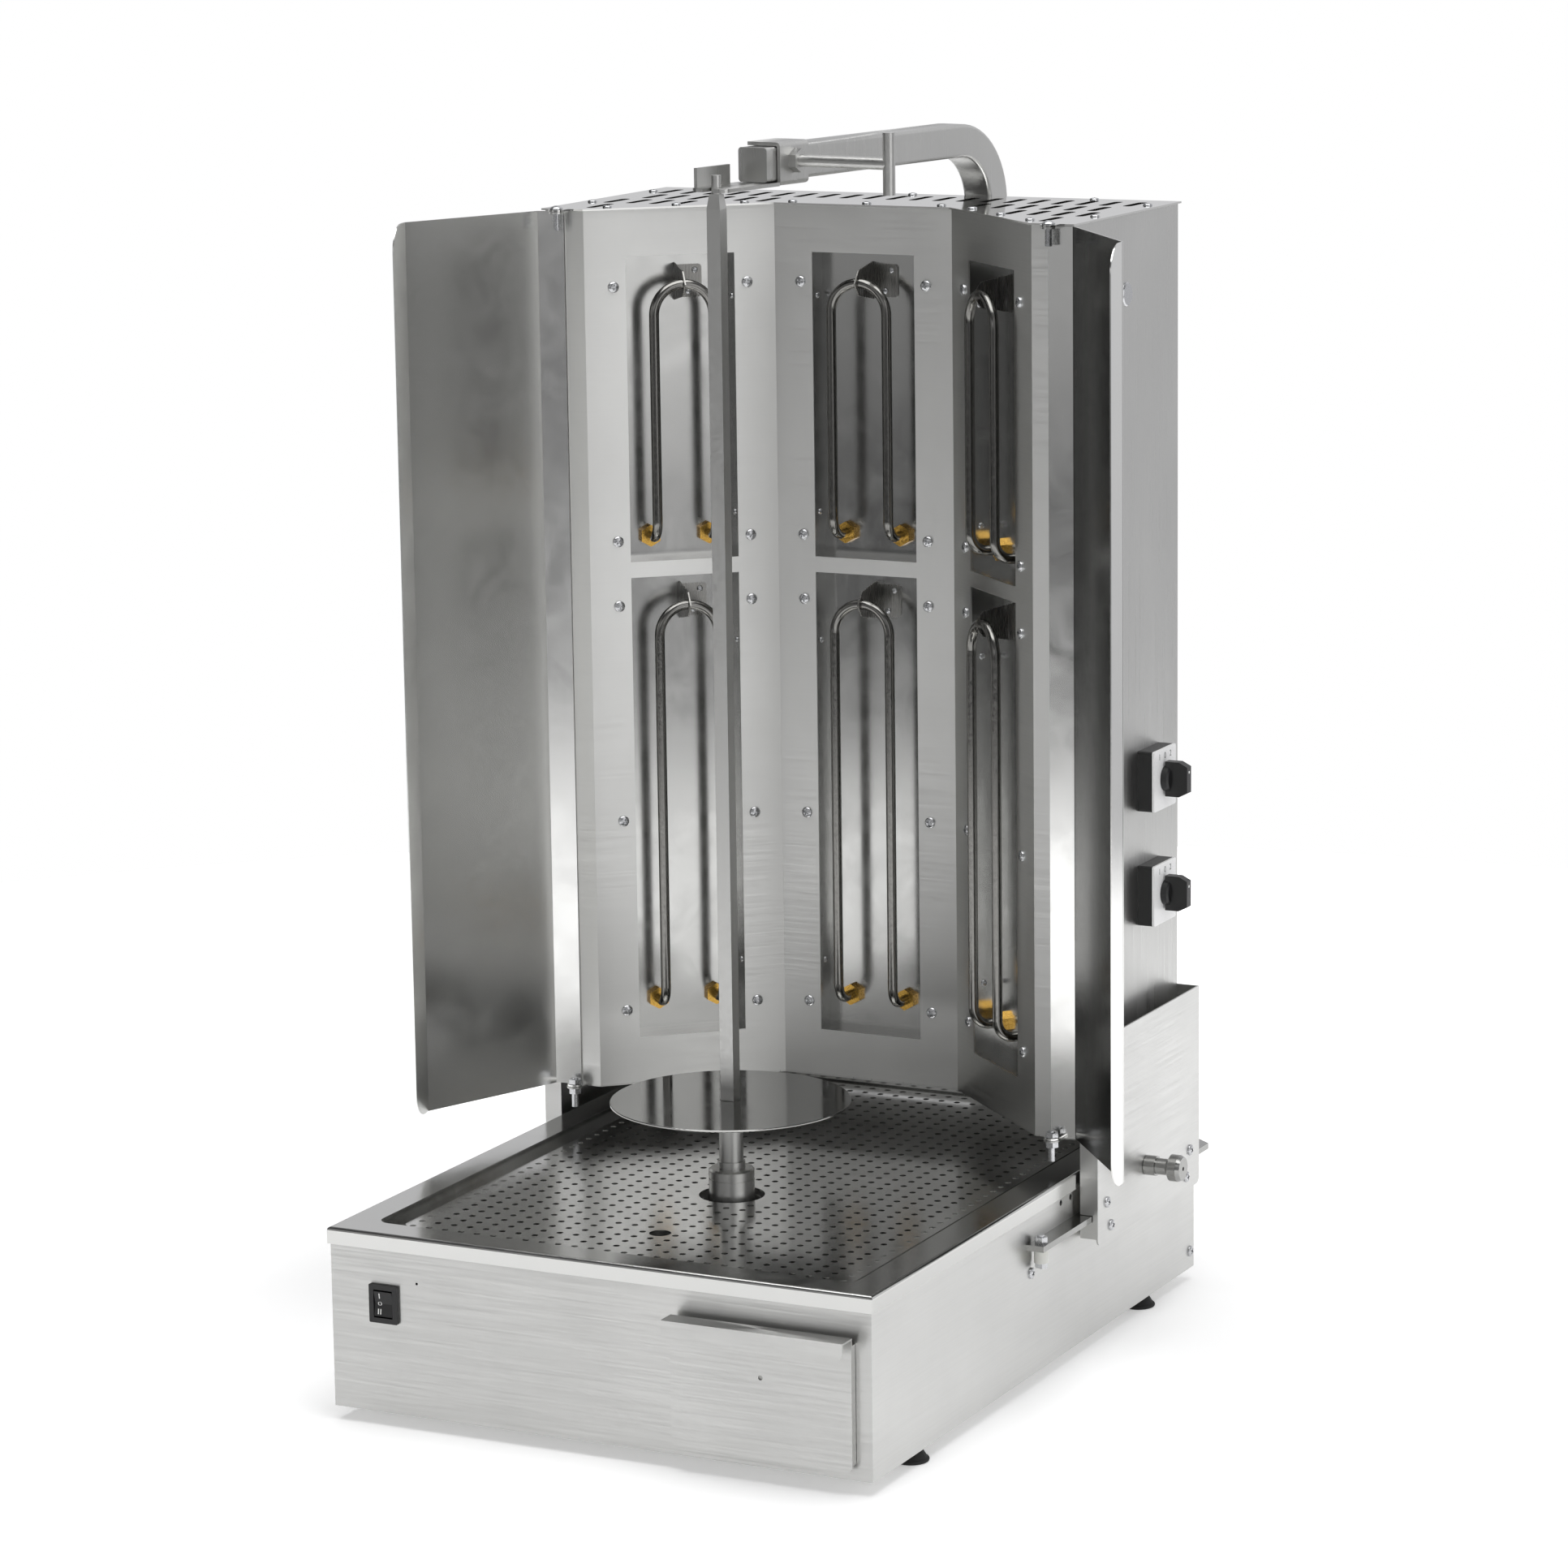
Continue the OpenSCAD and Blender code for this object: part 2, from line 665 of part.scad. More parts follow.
module drive_motor() {
    fins = 9;
    fin_t = 3;
    cap_l = 16;
    z = bracket_top - gearbox_h / 2;
    color("#4c5257") translate([0, motor_y, z]) rotate([-90, 0, 0]) {
        cylinder(h = motor_l, d = motor_d - 2 * fin_t);
        cylinder(h = cap_l, d = motor_d - fin_t);
        translate([0, 0, motor_l - cap_l]) cylinder(h = cap_l, d = motor_d - fin_t);
        for (i = [0:fins - 1])
            translate([0, 0, cap_l + (i + 1) * (motor_l - 2 * cap_l) / (fins + 1) - fin_t / 2])
                cylinder(h = fin_t, d = motor_d);
    }
}

module terminal_block() {
    w = 62;
    d = 22;
    h = 20;
    poles = 5;
    terminal_d = 6;
    z = floor_z + sheet;
    color("#d8d2c4") translate([-gland_x, base_rear - 3 * w / 2, z]) difference() {
        span(-w / 2, -d / 2, 0, w / 2, d / 2, h);
        for (i = [0:poles - 1], y = [-d / 4, d / 4])
            translate([(i - (poles - 1) / 2) * w / poles, y, h / 2]) cylinder(h = h, d = terminal_d);
        for (i = [1:poles - 1]) translate([-w / 2 + i * w / poles, 0, h])
            cube([sheet, d + over, h / 2], center = true);
    }
}

// cable entry in the rear wall
gland_bore = 10;
gland_flats = 24;
gland_out = 20;

module cable_gland() {
    nut_t = 5;
    color("#232326") translate([-gland_x, base_rear, gland_z]) rotate([-90, 0, 0]) difference() {
        union() {
            translate([0, 0, -sheet - nut_t]) cylinder(h = sheet + nut_t + gland_out / 2, d = gland_d);
            linear_extrude(gland_out / 4) hexagon(gland_flats);
            translate([0, 0, gland_out / 4]) linear_extrude(gland_out / 2) hexagon(gland_flats - 2 * sheet);
            translate([0, 0, 3 * gland_out / 4])
                cylinder(h = gland_out / 4, d1 = gland_d, d2 = gland_d - 2 * sheet);
            translate([0, 0, -sheet - nut_t]) linear_extrude(nut_t) hexagon(gland_flats);
        }
        translate([0, 0, -sheet - nut_t - over])
            cylinder(h = gland_out + nut_t + sheet + 2 * over, d = gland_bore);
    }
}

// guide bars beside the base, which carry the heater's carriage
guide_tail = 9;
guide_x = half_w;
stop_in = 12;
stop_y = guide_front + stop_in;
stop_d = 6;
spacer_d = 12;
spacer_h = 12;

module guide_bars() {
    color("gainsboro") for (m = [0, 1]) mirror([m, 0, 0]) difference() {
        translate([0, 0, guide_z]) linear_extrude(guide_t) polygon([
            [guide_x, guide_front], [guide_x + guide_w, guide_front],
            [guide_x + guide_w, base_rear - guide_tail / 3], [guide_x, base_rear + guide_tail]
        ]);
        translate([guide_x + guide_w / 2, stop_y, guide_z - over])
            cylinder(h = guide_t + 2 * over, d = stop_d + 2 * hole_play);
    }
}

module guide_spacers() {
    color("white") for (m = [0, 1]) mirror([m, 0, 0])
        translate([guide_x + guide_w / 2, stop_y, guide_z - spacer_h]) difference() {
            cylinder(h = spacer_h, d = spacer_d);
            translate([0, 0, -over]) cylinder(h = spacer_h + 2 * over, d = stop_d + 2 * hole_play);
        }
}

module guide_bolts() {
    head_h = 4;
    nut_h = 5;
    flats = 10;
    color("gainsboro") for (m = [0, 1]) mirror([m, 0, 0])
        translate([guide_x + guide_w / 2, stop_y, guide_z]) {
            translate([0, 0, -spacer_h - head_h]) linear_extrude(head_h) hexagon(flats);
            translate([0, 0, -spacer_h]) cylinder(h = spacer_h + guide_t + nut_h + sheet, d = stop_d);
            translate([0, 0, guide_t]) linear_extrude(nut_h) hexagon(flats);
        }
}

// drawer
runner_h = 18;
shelf_out = 7;

module drawer_runners() {
    z0 = floor_z + sheet;
    z1 = box_z0 - run_gap;
    gap = drawer_gap + slide_gap;
    color("silver") for (side = [0, 1]) {
        x = side == 0 ? box_x0 - gap : box_x1 + gap;
        s = side == 0 ? 1 : -1;
        translate([x, 0, 0]) scale_x(s) {
            span(-sheet, -base_front + sheet, z0, 0, drawer_l - base_front, z1 + runner_h);
            span(-sheet, -base_front + sheet, z1 - sheet, shelf_out, drawer_l - base_front, z1);
        }
    }
}
// mirrors across the YZ plane where s is -1
module scale_x(s) {
    if (s < 0) mirror([1, 0, 0]) children();
    else children();
}

module drawer_front() {
    y = -base_front - drawer_proud;
    lock_d0 = 4;
    lock_drop = 41.5;
    return_l = drawer_proud - sheet;
    corner = 6;
    z1 = drawer_z + drawer_h;
    color("gainsboro") difference() {
        union() {
            translate([0, y + sheet, 0]) rotate([90, 0, 0]) linear_extrude(sheet) difference() {
                rounded_span(drawer_x0, drawer_z, drawer_x1, z1 + corner, corner);
                translate([drawer_x0 - over, z1]) square([drawer_w + 2 * over, 2 * corner]);
            }
            // returns towards the base
            for (x = [drawer_x0, drawer_x1 - sheet])
                span(x, y + sheet / 2, drawer_z + corner,
                     x + sheet, y + sheet + return_l - slide_gap, z1 - corner);
            // folded handle
            span(drawer_x0, y - handle_out + sheet, z1 - sheet, drawer_x1, y + sheet, z1);
            translate([0, y - handle_out + sheet, 0]) rotate([90, 0, 0]) linear_extrude(sheet) difference() {
                rounded_span(drawer_x0, z1 - handle_drop, drawer_x1, z1 + corner, corner);
                translate([drawer_x0 - over, z1]) square([drawer_w + 2 * over, 2 * corner]);
            }
        }
        translate([(drawer_x0 + drawer_x1) / 2, y + sheet + over, z1 - lock_drop]) rotate([90, 0, 0])
            cylinder(h = sheet + 2 * over, d = lock_d0);
    }
}

module drawer_box() {
    y0 = -base_front - drawer_proud + sheet;
    y1 = drawer_l - base_front - sheet;
    color("lightgray") difference() {
        span(box_x0, y0, box_z0, box_x1, y1, box_z1);
        span(box_x0 + thin_sheet, y0 + thin_sheet, box_z0 + thin_sheet,
             box_x1 - thin_sheet, y1 - thin_sheet, box_z1 + over);
    }
}

// spit and its drive
socket_top = lip_top + socket_up;
socket_foot = bracket_top + 2 * sheet + slide_gap;
bar_sunk = 6;
bar_foot = lip_top - bar_sunk;
bearing_plate_z = arm_z - arm_w / 2 - slide_gap - bearing_t;
bar_gap = 2;
bar_top = bearing_plate_z - bar_gap;
taper_l = 12;
pin_over = 10;
disc_z = lip_top + disc_up;

module drive_socket() {
    ring_h = 9;
    color("gainsboro") difference() {
        union() {
            translate([0, 0, socket_foot]) cylinder(h = socket_top - socket_foot - sheet, d = socket_d);
            translate([0, 0, socket_top - sheet]) cylinder(h = sheet, d1 = socket_d, d2 = socket_d - 2 * sheet);
            translate([0, 0, bracket_top - gearbox_h / 2 + over])
                cylinder(h = socket_foot - bracket_top + gearbox_h / 2, d = shaft_d);
        }
        translate([-spit_w / 2 - hole_play, -spit_w / 2 - hole_play, bar_foot])
            cube([spit_w + 2 * hole_play, spit_w + 2 * hole_play, socket_top]);
        // turned groove below the mouth
        translate([0, 0, socket_top - ring_h]) difference() {
            cylinder(h = sheet, d = socket_d + over);
            translate([0, 0, -over]) cylinder(h = sheet + 2 * over, d = socket_d - sheet);
        }
    }
}

module spit_bar() {
    tip_share = 0.72;
    color("silver") {
        translate([-spit_w / 2, -spit_w / 2, bar_foot]) cube([spit_w, spit_w, bar_top - taper_l - bar_foot]);
        translate([0, 0, bar_top - taper_l]) linear_extrude(taper_l, scale = tip_share)
            square(spit_w, center = true);
        translate([0, 0, bar_top - taper_l]) cylinder(h = taper_l + bar_gap + bearing_t + pin_over, d = pin_d);
    }
}

module spit_disc() {
    rim = 0.6;
    color("whitesmoke") translate([0, 0, disc_z]) rotate_extrude($fn = 96) difference() {
        union() {
            square([disc_d / 2 - rim, disc_t]);
            translate([0, rim]) square([disc_d / 2, disc_t - 2 * rim]);
            for (z = [rim, disc_t - rim]) translate([disc_d / 2 - rim, z]) circle(rim);
        }
        translate([-over, -over]) square([spit_w * sqrt(1 / 2) + 2 * hole_play + over, disc_t + 2 * over]);
    }
}

module disc_sleeve() {
    flange_d = 44;
    flange_t = 3;
    cross_d = 5;
    cross_drop = 14;
    z0 = socket_top;
    color("silver") difference() {
        union() {
            translate([0, 0, z0]) cylinder(h = disc_z - z0, d = sleeve_d);
            translate([0, 0, disc_z - flange_t]) cylinder(h = flange_t, d = flange_d);
            translate([0, 0, z0]) cylinder(h = 2 * flange_t, d = sleeve_d + flange_t);
        }
        translate([-spit_w / 2 - hole_play, -spit_w / 2 - hole_play, z0 - over])
            cube([spit_w + 2 * hole_play, spit_w + 2 * hole_play, disc_z]);
        translate([0, 0, disc_z - cross_drop]) rotate([90, 0, 0])
            cylinder(h = 2 * sleeve_d, d = cross_d, center = true);
    }
}

// carriage
carriage_x = max(half_w, casing_x) + carriage_out;
carriage_gap = 1;
carriage_y = strip_y + carriage_gap;
carriage_corner = 6;
lip_clear = 3;
flange_in = lip_x + lip_out;
block_l = 24;
block_in = 12;
block_ys = [carriage_y + block_in, carriage_rear - sheet - block_in - block_l];
block_low = 17;
block_high = 16;
block_z0 = guide_z - block_low;
block_z1 = guide_z + guide_t + block_high;
carriage_screw_shares = [0.32, 0.68];
screw_low = 9;
screw_high = 8;
lock_fore = 7;
lock_drop = 4;
lock_y = (carriage_y + carriage_rear) / 2 - lock_fore;
lock_z = base_h - lock_drop;
lock_screw_d = 7;

module carriage_side() {
    z1 = carriage_z + carriage_h;
    // side plate with round lower corners
    translate([carriage_x - sheet, 0, 0]) rotate([90, 0, 90]) linear_extrude(sheet) {
        rounded_span(carriage_y, carriage_z, carriage_rear, z1, carriage_corner);
        translate([carriage_y, z1 - carriage_corner]) square([carriage_rear - carriage_y, carriage_corner]);
    }
    // front flange: narrow beside the lip, reaching the casing above it
    span(flange_in, carriage_y, carriage_z + carriage_corner, carriage_x, carriage_y + sheet, z1);
    span(casing_x, carriage_y, heater_z, carriage_x, carriage_y + sheet, z1);
    // rear flange
    span(flange_in, carriage_rear - sheet, carriage_z + carriage_corner, carriage_x, carriage_rear, z1);
}

module carriage_frame() {
    z1 = carriage_z + carriage_h;
    color("gainsboro") difference() {
        union() {
            for (m = [0, 1]) mirror([m, 0, 0]) carriage_side();
            span(-carriage_x, carriage_rear - sheet, lip_top + lip_clear, carriage_x, carriage_rear, z1);
        }
        for (m = [0, 1]) mirror([m, 0, 0]) {
            span(half_w - over, carriage_y - over, guide_z - slide_gap,
                 guide_x + guide_w + slide_gap, carriage_y + sheet + over, guide_z + guide_t + slide_gap);
            span(half_w - over, carriage_rear - sheet - over, guide_z - slide_gap,
                 guide_x + guide_w + slide_gap, carriage_rear + over, guide_z + guide_t + slide_gap);
            for (p = carriage_screw_places()) translate([carriage_x, p[0], p[1]]) rotate([0, 90, 0])
                cylinder(h = 4 * sheet, d = screw_d + 2 * hole_play, center = true);
        }
        translate([carriage_x, lock_y, lock_z]) rotate([0, 90, 0])
            cylinder(h = 4 * sheet, d = lock_screw_d + 2 * play, center = true);
    }
}

// y and z of the screws that hold the slide blocks
function carriage_screw_places() = [
    for (i = [0, 1], j = [0, 1])
        let (share = carriage_screw_shares[i == 0 ? j : 1 - j])
        [block_ys[i] + (1 - share) * block_l,
         j == 0 ? guide_z - screw_low : guide_z + guide_t + screw_high]
];

module slide_blocks() {
    color("white") for (m = [0, 1]) mirror([m, 0, 0]) difference() {
        for (y = block_ys)
            span(half_w + lip_out + slide_gap, y, block_z0, carriage_x - sheet, y + block_l, block_z1);
        span(half_w - over, 0, guide_z - run_gap,
             guide_x + guide_w + run_gap, carriage_rear + over, guide_z + guide_t + run_gap);
        for (p = carriage_screw_places()) translate([carriage_x, p[0], p[1]]) rotate([0, 90, 0])
            cylinder(h = 4 * screw_l, d = screw_d + 2 * hole_play, center = true);
    }
}

module carriage_screws() {
    color("gainsboro") for (m = [0, 1]) mirror([m, 0, 0]) for (p = carriage_screw_places())
        translate([carriage_x, p[0], p[1]]) rotate([0, 90, 0])
            pan_screw(screw_d, screw_head_d, screw_head_h, screw_l + sheet);
}

// lock: a turned knob on a screw that grips the base's side
lock_nut_t = 6;
lock_nut_flats = 13;

lock_neck_share = 0.58;
lock_flare_share = 0.1;

module lock_knob() {
    neck_d = 14;
    ring_d = 17;
    neck_l = lock_l * lock_neck_share;
    flare_l = lock_l * lock_flare_share;
    eye_d = 3.6;
    color("silver") translate([carriage_x + run_gap, lock_y, lock_z]) rotate([0, 90, 0]) difference() {
        union() {
            cylinder(h = neck_l, d = neck_d);
            cylinder(h = neck_l / 2, d = ring_d);
            translate([0, 0, neck_l]) cylinder(h = flare_l, d1 = neck_d, d2 = lock_d);
            translate([0, 0, neck_l + flare_l]) cylinder(h = lock_l - neck_l - 2 * flare_l, d = lock_d);
            translate([0, 0, lock_l - flare_l]) cylinder(h = flare_l, d1 = lock_d, d2 = lock_d - flare_l);
            translate([0, 0, half_w - carriage_x])
                cylinder(h = carriage_x - half_w + over, d = lock_screw_d);
        }
        translate([0, 0, lock_l - lock_d / 2]) cylinder(h = lock_d, d = eye_d);
    }
}

module lock_nut() {
    color("silver") translate([carriage_x - sheet - lock_nut_t, lock_y, lock_z]) rotate([0, 90, 0])
        linear_extrude(lock_nut_t) difference() {
            hexagon(lock_nut_flats);
            circle(d = lock_screw_d + 2 * play);
        }
}

// heater casing
plug_d = 20;
plug_back = 111;
plug_y = strip_y + plug_back;
plug_drop = 66;
switch_back = 159;
switch_y = strip_y + switch_back;
switch_zs = [heater_z + switch_rise, heater_z + switch_rise + switch_step];
switch_shaft_d = 10;

module heater_casing() {
    y0 = strip_y + thin_sheet;
    t = thin_sheet;
    color("silver") difference() {
        span(-casing_x, y0, heater_z, casing_x, casing_rear, heater_top);
        span(-casing_x + t, y0 - over, heater_z - over, casing_x - t, casing_rear - t, heater_top + over);
        for (z = switch_zs) translate([casing_x, switch_y, z]) rotate([0, 90, 0])
            cylinder(h = 4 * t, d = switch_shaft_d + over, center = true);
        translate([casing_x, plug_y, heater_top - plug_drop]) rotate([0, 90, 0])
            cylinder(h = 4 * t, d = plug_d - 2 * sheet + 2 * hole_play, center = true);
    }
}

// outline of the casing in plan, grown by g and at the rear by rear
module casing_outline(g, rear) {
    polygon(concat(
        [for (i = [0:5]) side_step(sheet_path, i, -g) + [i == 0 ? -g : i == 5 ? g : 0, 0]],
        [[casing_x + g, casing_rear + rear], [-casing_x - g, casing_rear + rear]]
    ));
}

// rounded tab ahead of the flange that holds a hinge bolt
hinge_side = 19.8;
hinge_out = 10.5;
hinge_x = fold_x + hinge_side;
hinge_y = strip_y - hinge_out;
tab_r = 7;

module hinge_tabs() {
    for (m = [0, 1]) mirror([m, 0, 0]) {
        translate([hinge_x, hinge_y]) circle(tab_r);
        translate([hinge_x - tab_r, hinge_y]) square([2 * tab_r, strip_y - hinge_y + tab_r]);
    }
}

module hinge_holes() {
    for (m = [0, 1]) mirror([m, 0, 0]) translate([hinge_x, hinge_y]) circle(d = bolt_d + 2 * hole_play);
}

module heater_floor() {
    color("silver") translate([0, 0, heater_z - sheet]) linear_extrude(sheet) difference() {
        union() {
            casing_outline(0, 0);
            hinge_tabs();
        }
        hinge_holes();
    }
}

// top cover with its vent slots and its row of screws
cover_over = 2.5;
slot_w = 8;
slot_l = 40;
slot_step_x = 22;
slot_step_y = 50;
slot_margin = 10;
slot_columns = floor(casing_x / slot_step_x);
cover_screw_d = 3.5;
cover_screw_head = 8;
cover_screw_h = 2;
cover_screw_in = 9;

// places of the vent slots, which keep clear of the cover's edges
function slot_places() = [
    for (j = [0:3], i = [-slot_columns:slot_columns])
        let (x = (i + (j % 2) / 2) * slot_step_x,
             y = casing_rear - slot_margin - cover_screw_in - slot_l / 2 - j * slot_step_y)
        if (abs(x) + slot_w / 2 < casing_x - slot_margin - cover_screw_in &&
            y - slot_l / 2 > max(panel_y(x - slot_w / 2), panel_y(x + slot_w / 2)) + slot_margin)
        [x, y]
];

// places of the cover's screws: three along each panel, two on each side and three at the rear
cover_centre_shares = [-0.42, 0, 0.42];
cover_panel_shares = [0.14, 0.5, 0.86];
cover_side_shares = [0.3, 0.8];
cover_rear_shares = [-0.7, 0, 0.7];
function cover_screw_places() = concat(
    [for (u = cover_centre_shares) [u * centre_w, centre_y + cover_screw_in]],
    [for (m = [-1, 1], u = cover_panel_shares)
        [m * (centre_w / 2 + u * panel_w * cos(panel_angle) + cover_screw_in * sin(panel_angle)),
         centre_y - u * panel_w * sin(panel_angle) + cover_screw_in * cos(panel_angle)]],
    [for (m = [-1, 1], s = cover_side_shares)
        [m * (casing_x - cover_screw_in), strip_y + s * (casing_rear - strip_y)]],
    [for (u = cover_rear_shares) [u * casing_x, casing_rear - cover_screw_in]]
);

module top_cover() {
    color("whitesmoke") translate([0, 0, heater_top]) linear_extrude(sheet) difference() {
        union() {
            casing_outline(cover_over, sheet);
            hinge_tabs();
        }
        hinge_holes();
        for (p = slot_places()) translate(p) round_slot(slot_w, slot_l);
        for (p = cover_screw_places()) translate(p) circle(d = cover_screw_d + 2 * hole_play);
    }
}

module cover_screws() {
    color("silver") for (p = cover_screw_places()) translate([p[0], p[1], heater_top + sheet])
        pan_screw(cover_screw_d, cover_screw_head, cover_screw_h, screw_l);
}

// folded front panel with its six windows
panel_screw_u = 59;
panel_screw_shares = [0.0855, 0.3064, 0.5536, 0.6272, 0.9139];

module front_panel() {
    color("silver") difference() {
        translate([0, 0, heater_z]) linear_extrude(heater_h) polygon(folded(sheet_path, thin_sheet));
        for (i = [-1:1]) on_panel(i) {
            for (w = windows()) span(-window_w / 2, -over, w[0], window_w / 2, thin_sheet + over, w[0] + w[1]);
            for (m = [-1, 1], s = panel_screw_shares)
                translate([m * panel_screw_u, thin_sheet + over, heater_z + s * heater_h]) rotate([90, 0, 0])
                    cylinder(h = thin_sheet + 2 * over, d = screw_d + 2 * hole_play);
        }
    }
}

// foot, height and nut rise of the lower and the upper windows
function windows() = [
    [lower_window_z, lower_window_h, lower_nut_rise],
    [upper_window_z, upper_window_h, upper_nut_rise]
];

module panel_screws() {
    color("gainsboro") for (i = [-1:1], m = [-1, 1], s = panel_screw_shares) on_panel(i)
        translate([m * panel_screw_u, 0, heater_z + s * heater_h]) rotate([90, 0, 0])
            pan_screw(screw_d, screw_head_d, screw_head_h, screw_l);
}

// mirror-finished reflector boxes behind the windows
module reflector(w) {
    t = thin_sheet;
    side = panel_screw_u - window_w / 2 + screw_head_d / 2;
    difference() {
        union() {
            span(-window_w / 2 - t, t, w[0] - t, window_w / 2 + t, reflector_d + t, w[0] + w[1] + t);
            span(-window_w / 2 - side, t, w[0] - window_bar / 2 + slide_gap,
                 window_w / 2 + side, 2 * t, w[0] + w[1] + window_bar / 2 - slide_gap);
        }
        for (m = [-1, 1], s = panel_screw_shares)
            translate([m * panel_screw_u, t, heater_z + s * heater_h]) rotate([90, 0, 0])
                cylinder(h = 4 * t, d = screw_d + 2 * hole_play, center = true);
        span(-window_w / 2, 0, w[0], window_w / 2, reflector_d, w[0] + w[1]);
        for (m = [-1, 1]) translate([m * element_legs / 2, reflector_d, w[0] + w[2]]) rotate([90, 0, 0])
            cylinder(h = 4 * t, d = element_d + 2 * hole_play, center = true);
    }
}

module reflectors(i) {
    color("whitesmoke") on_panel(i) for (w = windows()) reflector(w);
}

module left_reflectors() {
    reflectors(-1);
}

module centre_reflectors() {
    reflectors(0);
}

module right_reflectors() {
    reflectors(1);
}

// tubular heating element: an arch, two legs and two bends back through the reflector
element_tail = 16;

module element(i, w) {
    arch_z = w[0] + w[1] - arch_drop - element_d / 2 - element_legs / 2;
    leg_z = w[0] + w[2] + element_bend;
    color("#8d8478") on_panel(i) {
        translate([0, -element_out, arch_z]) rotate([90, 0, 0])
            rotate_extrude(angle = 180) translate([element_legs / 2, 0]) circle(d = element_d);
        for (m = [-1, 1]) translate([m * element_legs / 2, 0, 0]) {
            translate([0, -element_out, leg_z]) cylinder(h = arch_z - leg_z, d = element_d);
            translate([0, element_bend - element_out, leg_z]) rotate([0, 90, 0])
                rotate_extrude(angle = -90) translate([element_bend, 0]) circle(d = element_d);
            translate([0, element_bend - element_out, w[0] + w[2]]) rotate([-90, 0, 0])
                cylinder(h = reflector_d + element_tail + element_out - element_bend, d = element_d);
        }
    }
}

module left_upper_element() {
    element(-1, windows()[1]);
}

module left_lower_element() {
    element(-1, windows()[0]);
}

module centre_upper_element() {
    element(0, windows()[1]);
}

module centre_lower_element() {
    element(0, windows()[0]);
}

module right_upper_element() {
    element(1, windows()[1]);
}

module right_lower_element() {
    element(1, windows()[0]);
}

// brass nuts that hold the elements' ends
element_nut_t = 6;

module element_nuts() {
    color("#c9a24a") for (i = [-1:1], w = windows(), m = [-1, 1]) on_panel(i)
        translate([m * element_legs / 2, reflector_d, w[0] + w[2]]) rotate([90, 0, 0])
            linear_extrude(element_nut_t) difference() {
                rotate([0, 0, 30]) hexagon(nut_flats);
                circle(d = element_d + 2 * hole_play);
            }
}

// brackets that hold the elements' arches: a plate on the back wall and a blade round the tube
bracket_w = 24;
bracket_h = 28;
bracket_round = 3;
blade_h = 32;
blade_nose = 8;

module element_brackets() {
    color("lightgray") for (i = [-1:1], w = windows()) on_panel(i) {
        z = w[0] + w[1] - arch_drop - element_d / 2;
        difference() {
            union() {
                translate([0, reflector_d, 0]) rotate([90, 0, 0]) linear_extrude(thin_sheet)
                    rounded_span(-thin_sheet / 2, z - bracket_h / 2, bracket_w, z + bracket_h / 2,
                                 bracket_round);
                translate([-thin_sheet / 2, 0, z]) rotate([90, 0, 90]) linear_extrude(thin_sheet) polygon([
                    [reflector_d - thin_sheet / 2, -blade_h / 2], [-element_out, -blade_h / 3],
                    [-element_out - blade_nose, 0], [-element_out, blade_h / 3],
                    [reflector_d - thin_sheet / 2, blade_h / 2]
                ]);
            }
            translate([0, -element_out, z]) rotate([0, 90, 0])
                cylinder(h = bracket_w, d = element_d + 2 * hole_play, center = true);
        }
    }
}

// heat switches on the right wall
plate_t = 2;

module switch_bodies() {
    color("#202124") for (z = switch_zs) translate([casing_x, switch_y, z]) rotate([0, 90, 0]) difference() {
        union() {
            linear_extrude(switch_d - plate_t) rounded(switch_h, switch_w, plate_t);
            translate([0, 0, -2 * screw_l]) cylinder(h = 2 * screw_l + over, d = switch_shaft_d);
        }
        translate([0, 0, switch_d / 2]) cylinder(h = switch_d, d = switch_shaft_d / 2 + 2 * play);
    }
}

module switch_plates() {
    color("#d9dadc") for (z = switch_zs) translate([casing_x + switch_d - plate_t, switch_y, z])
        rotate([0, 90, 0]) linear_extrude(plate_t) difference() {
            rounded(switch_h, switch_w, plate_t);
            circle(d = switch_shaft_d / 2 + 2 * play);
        }
}

// its grip is a bar with its outer corners cut off
knob_foot_share = 0.3;
knob_slant_share = 0.35;

module switch_knob() {
    foot_t = knob_l * knob_foot_share;
    slant = knob_l * knob_slant_share;
    grip_w = 9;
    translate([casing_x + switch_d + run_gap, switch_y, 0]) rotate([0, 90, 0]) {
        cylinder(h = foot_t - sheet, d = knob_foot_d);
        translate([0, 0, foot_t - sheet]) cylinder(h = sheet, d1 = knob_foot_d, d2 = knob_foot_d - 2 * sheet);
        rotate([90, 0, 0]) linear_extrude(grip_w, center = true) polygon([
            [-knob_d / 2, sheet], [knob_d / 2, sheet], [knob_d / 2, knob_l - run_gap - slant],
            [knob_d / 2 - slant / 2, knob_l - run_gap], [slant / 2 - knob_d / 2, knob_l - run_gap],
            [-knob_d / 2, knob_l - run_gap - slant]
        ]);
        translate([0, 0, -switch_d / 2 + plate_t]) cylinder(h = switch_d / 2, d = switch_shaft_d / 2);
    }
}

module upper_knob() {
    color("#161618") translate([0, 0, switch_zs[1]]) switch_knob();
}

module lower_knob() {
    color("#161618") translate([0, 0, switch_zs[0]]) switch_knob();
}

// round plug in a spare hole of the right wall
module wall_plug() {
    cap_t = 2;
    color("gainsboro") translate([casing_x, plug_y, heater_top - plug_drop]) rotate([0, 90, 0]) {
        cylinder(h = cap_t / 2, d = plug_d);
        translate([0, 0, cap_t / 2]) cylinder(h = cap_t / 2, d1 = plug_d, d2 = plug_d - cap_t);
        translate([0, 0, -2 * thin_sheet]) cylinder(h = 2 * thin_sheet, d = plug_d - 2 * sheet);
    }
}

// wings: drawn round their hinge pin, on the outer stop
strip_off = 8;
strip_in = 4.2;
wing_z0 = heater_z + run_gap;
wing_z1 = heater_top - run_gap;

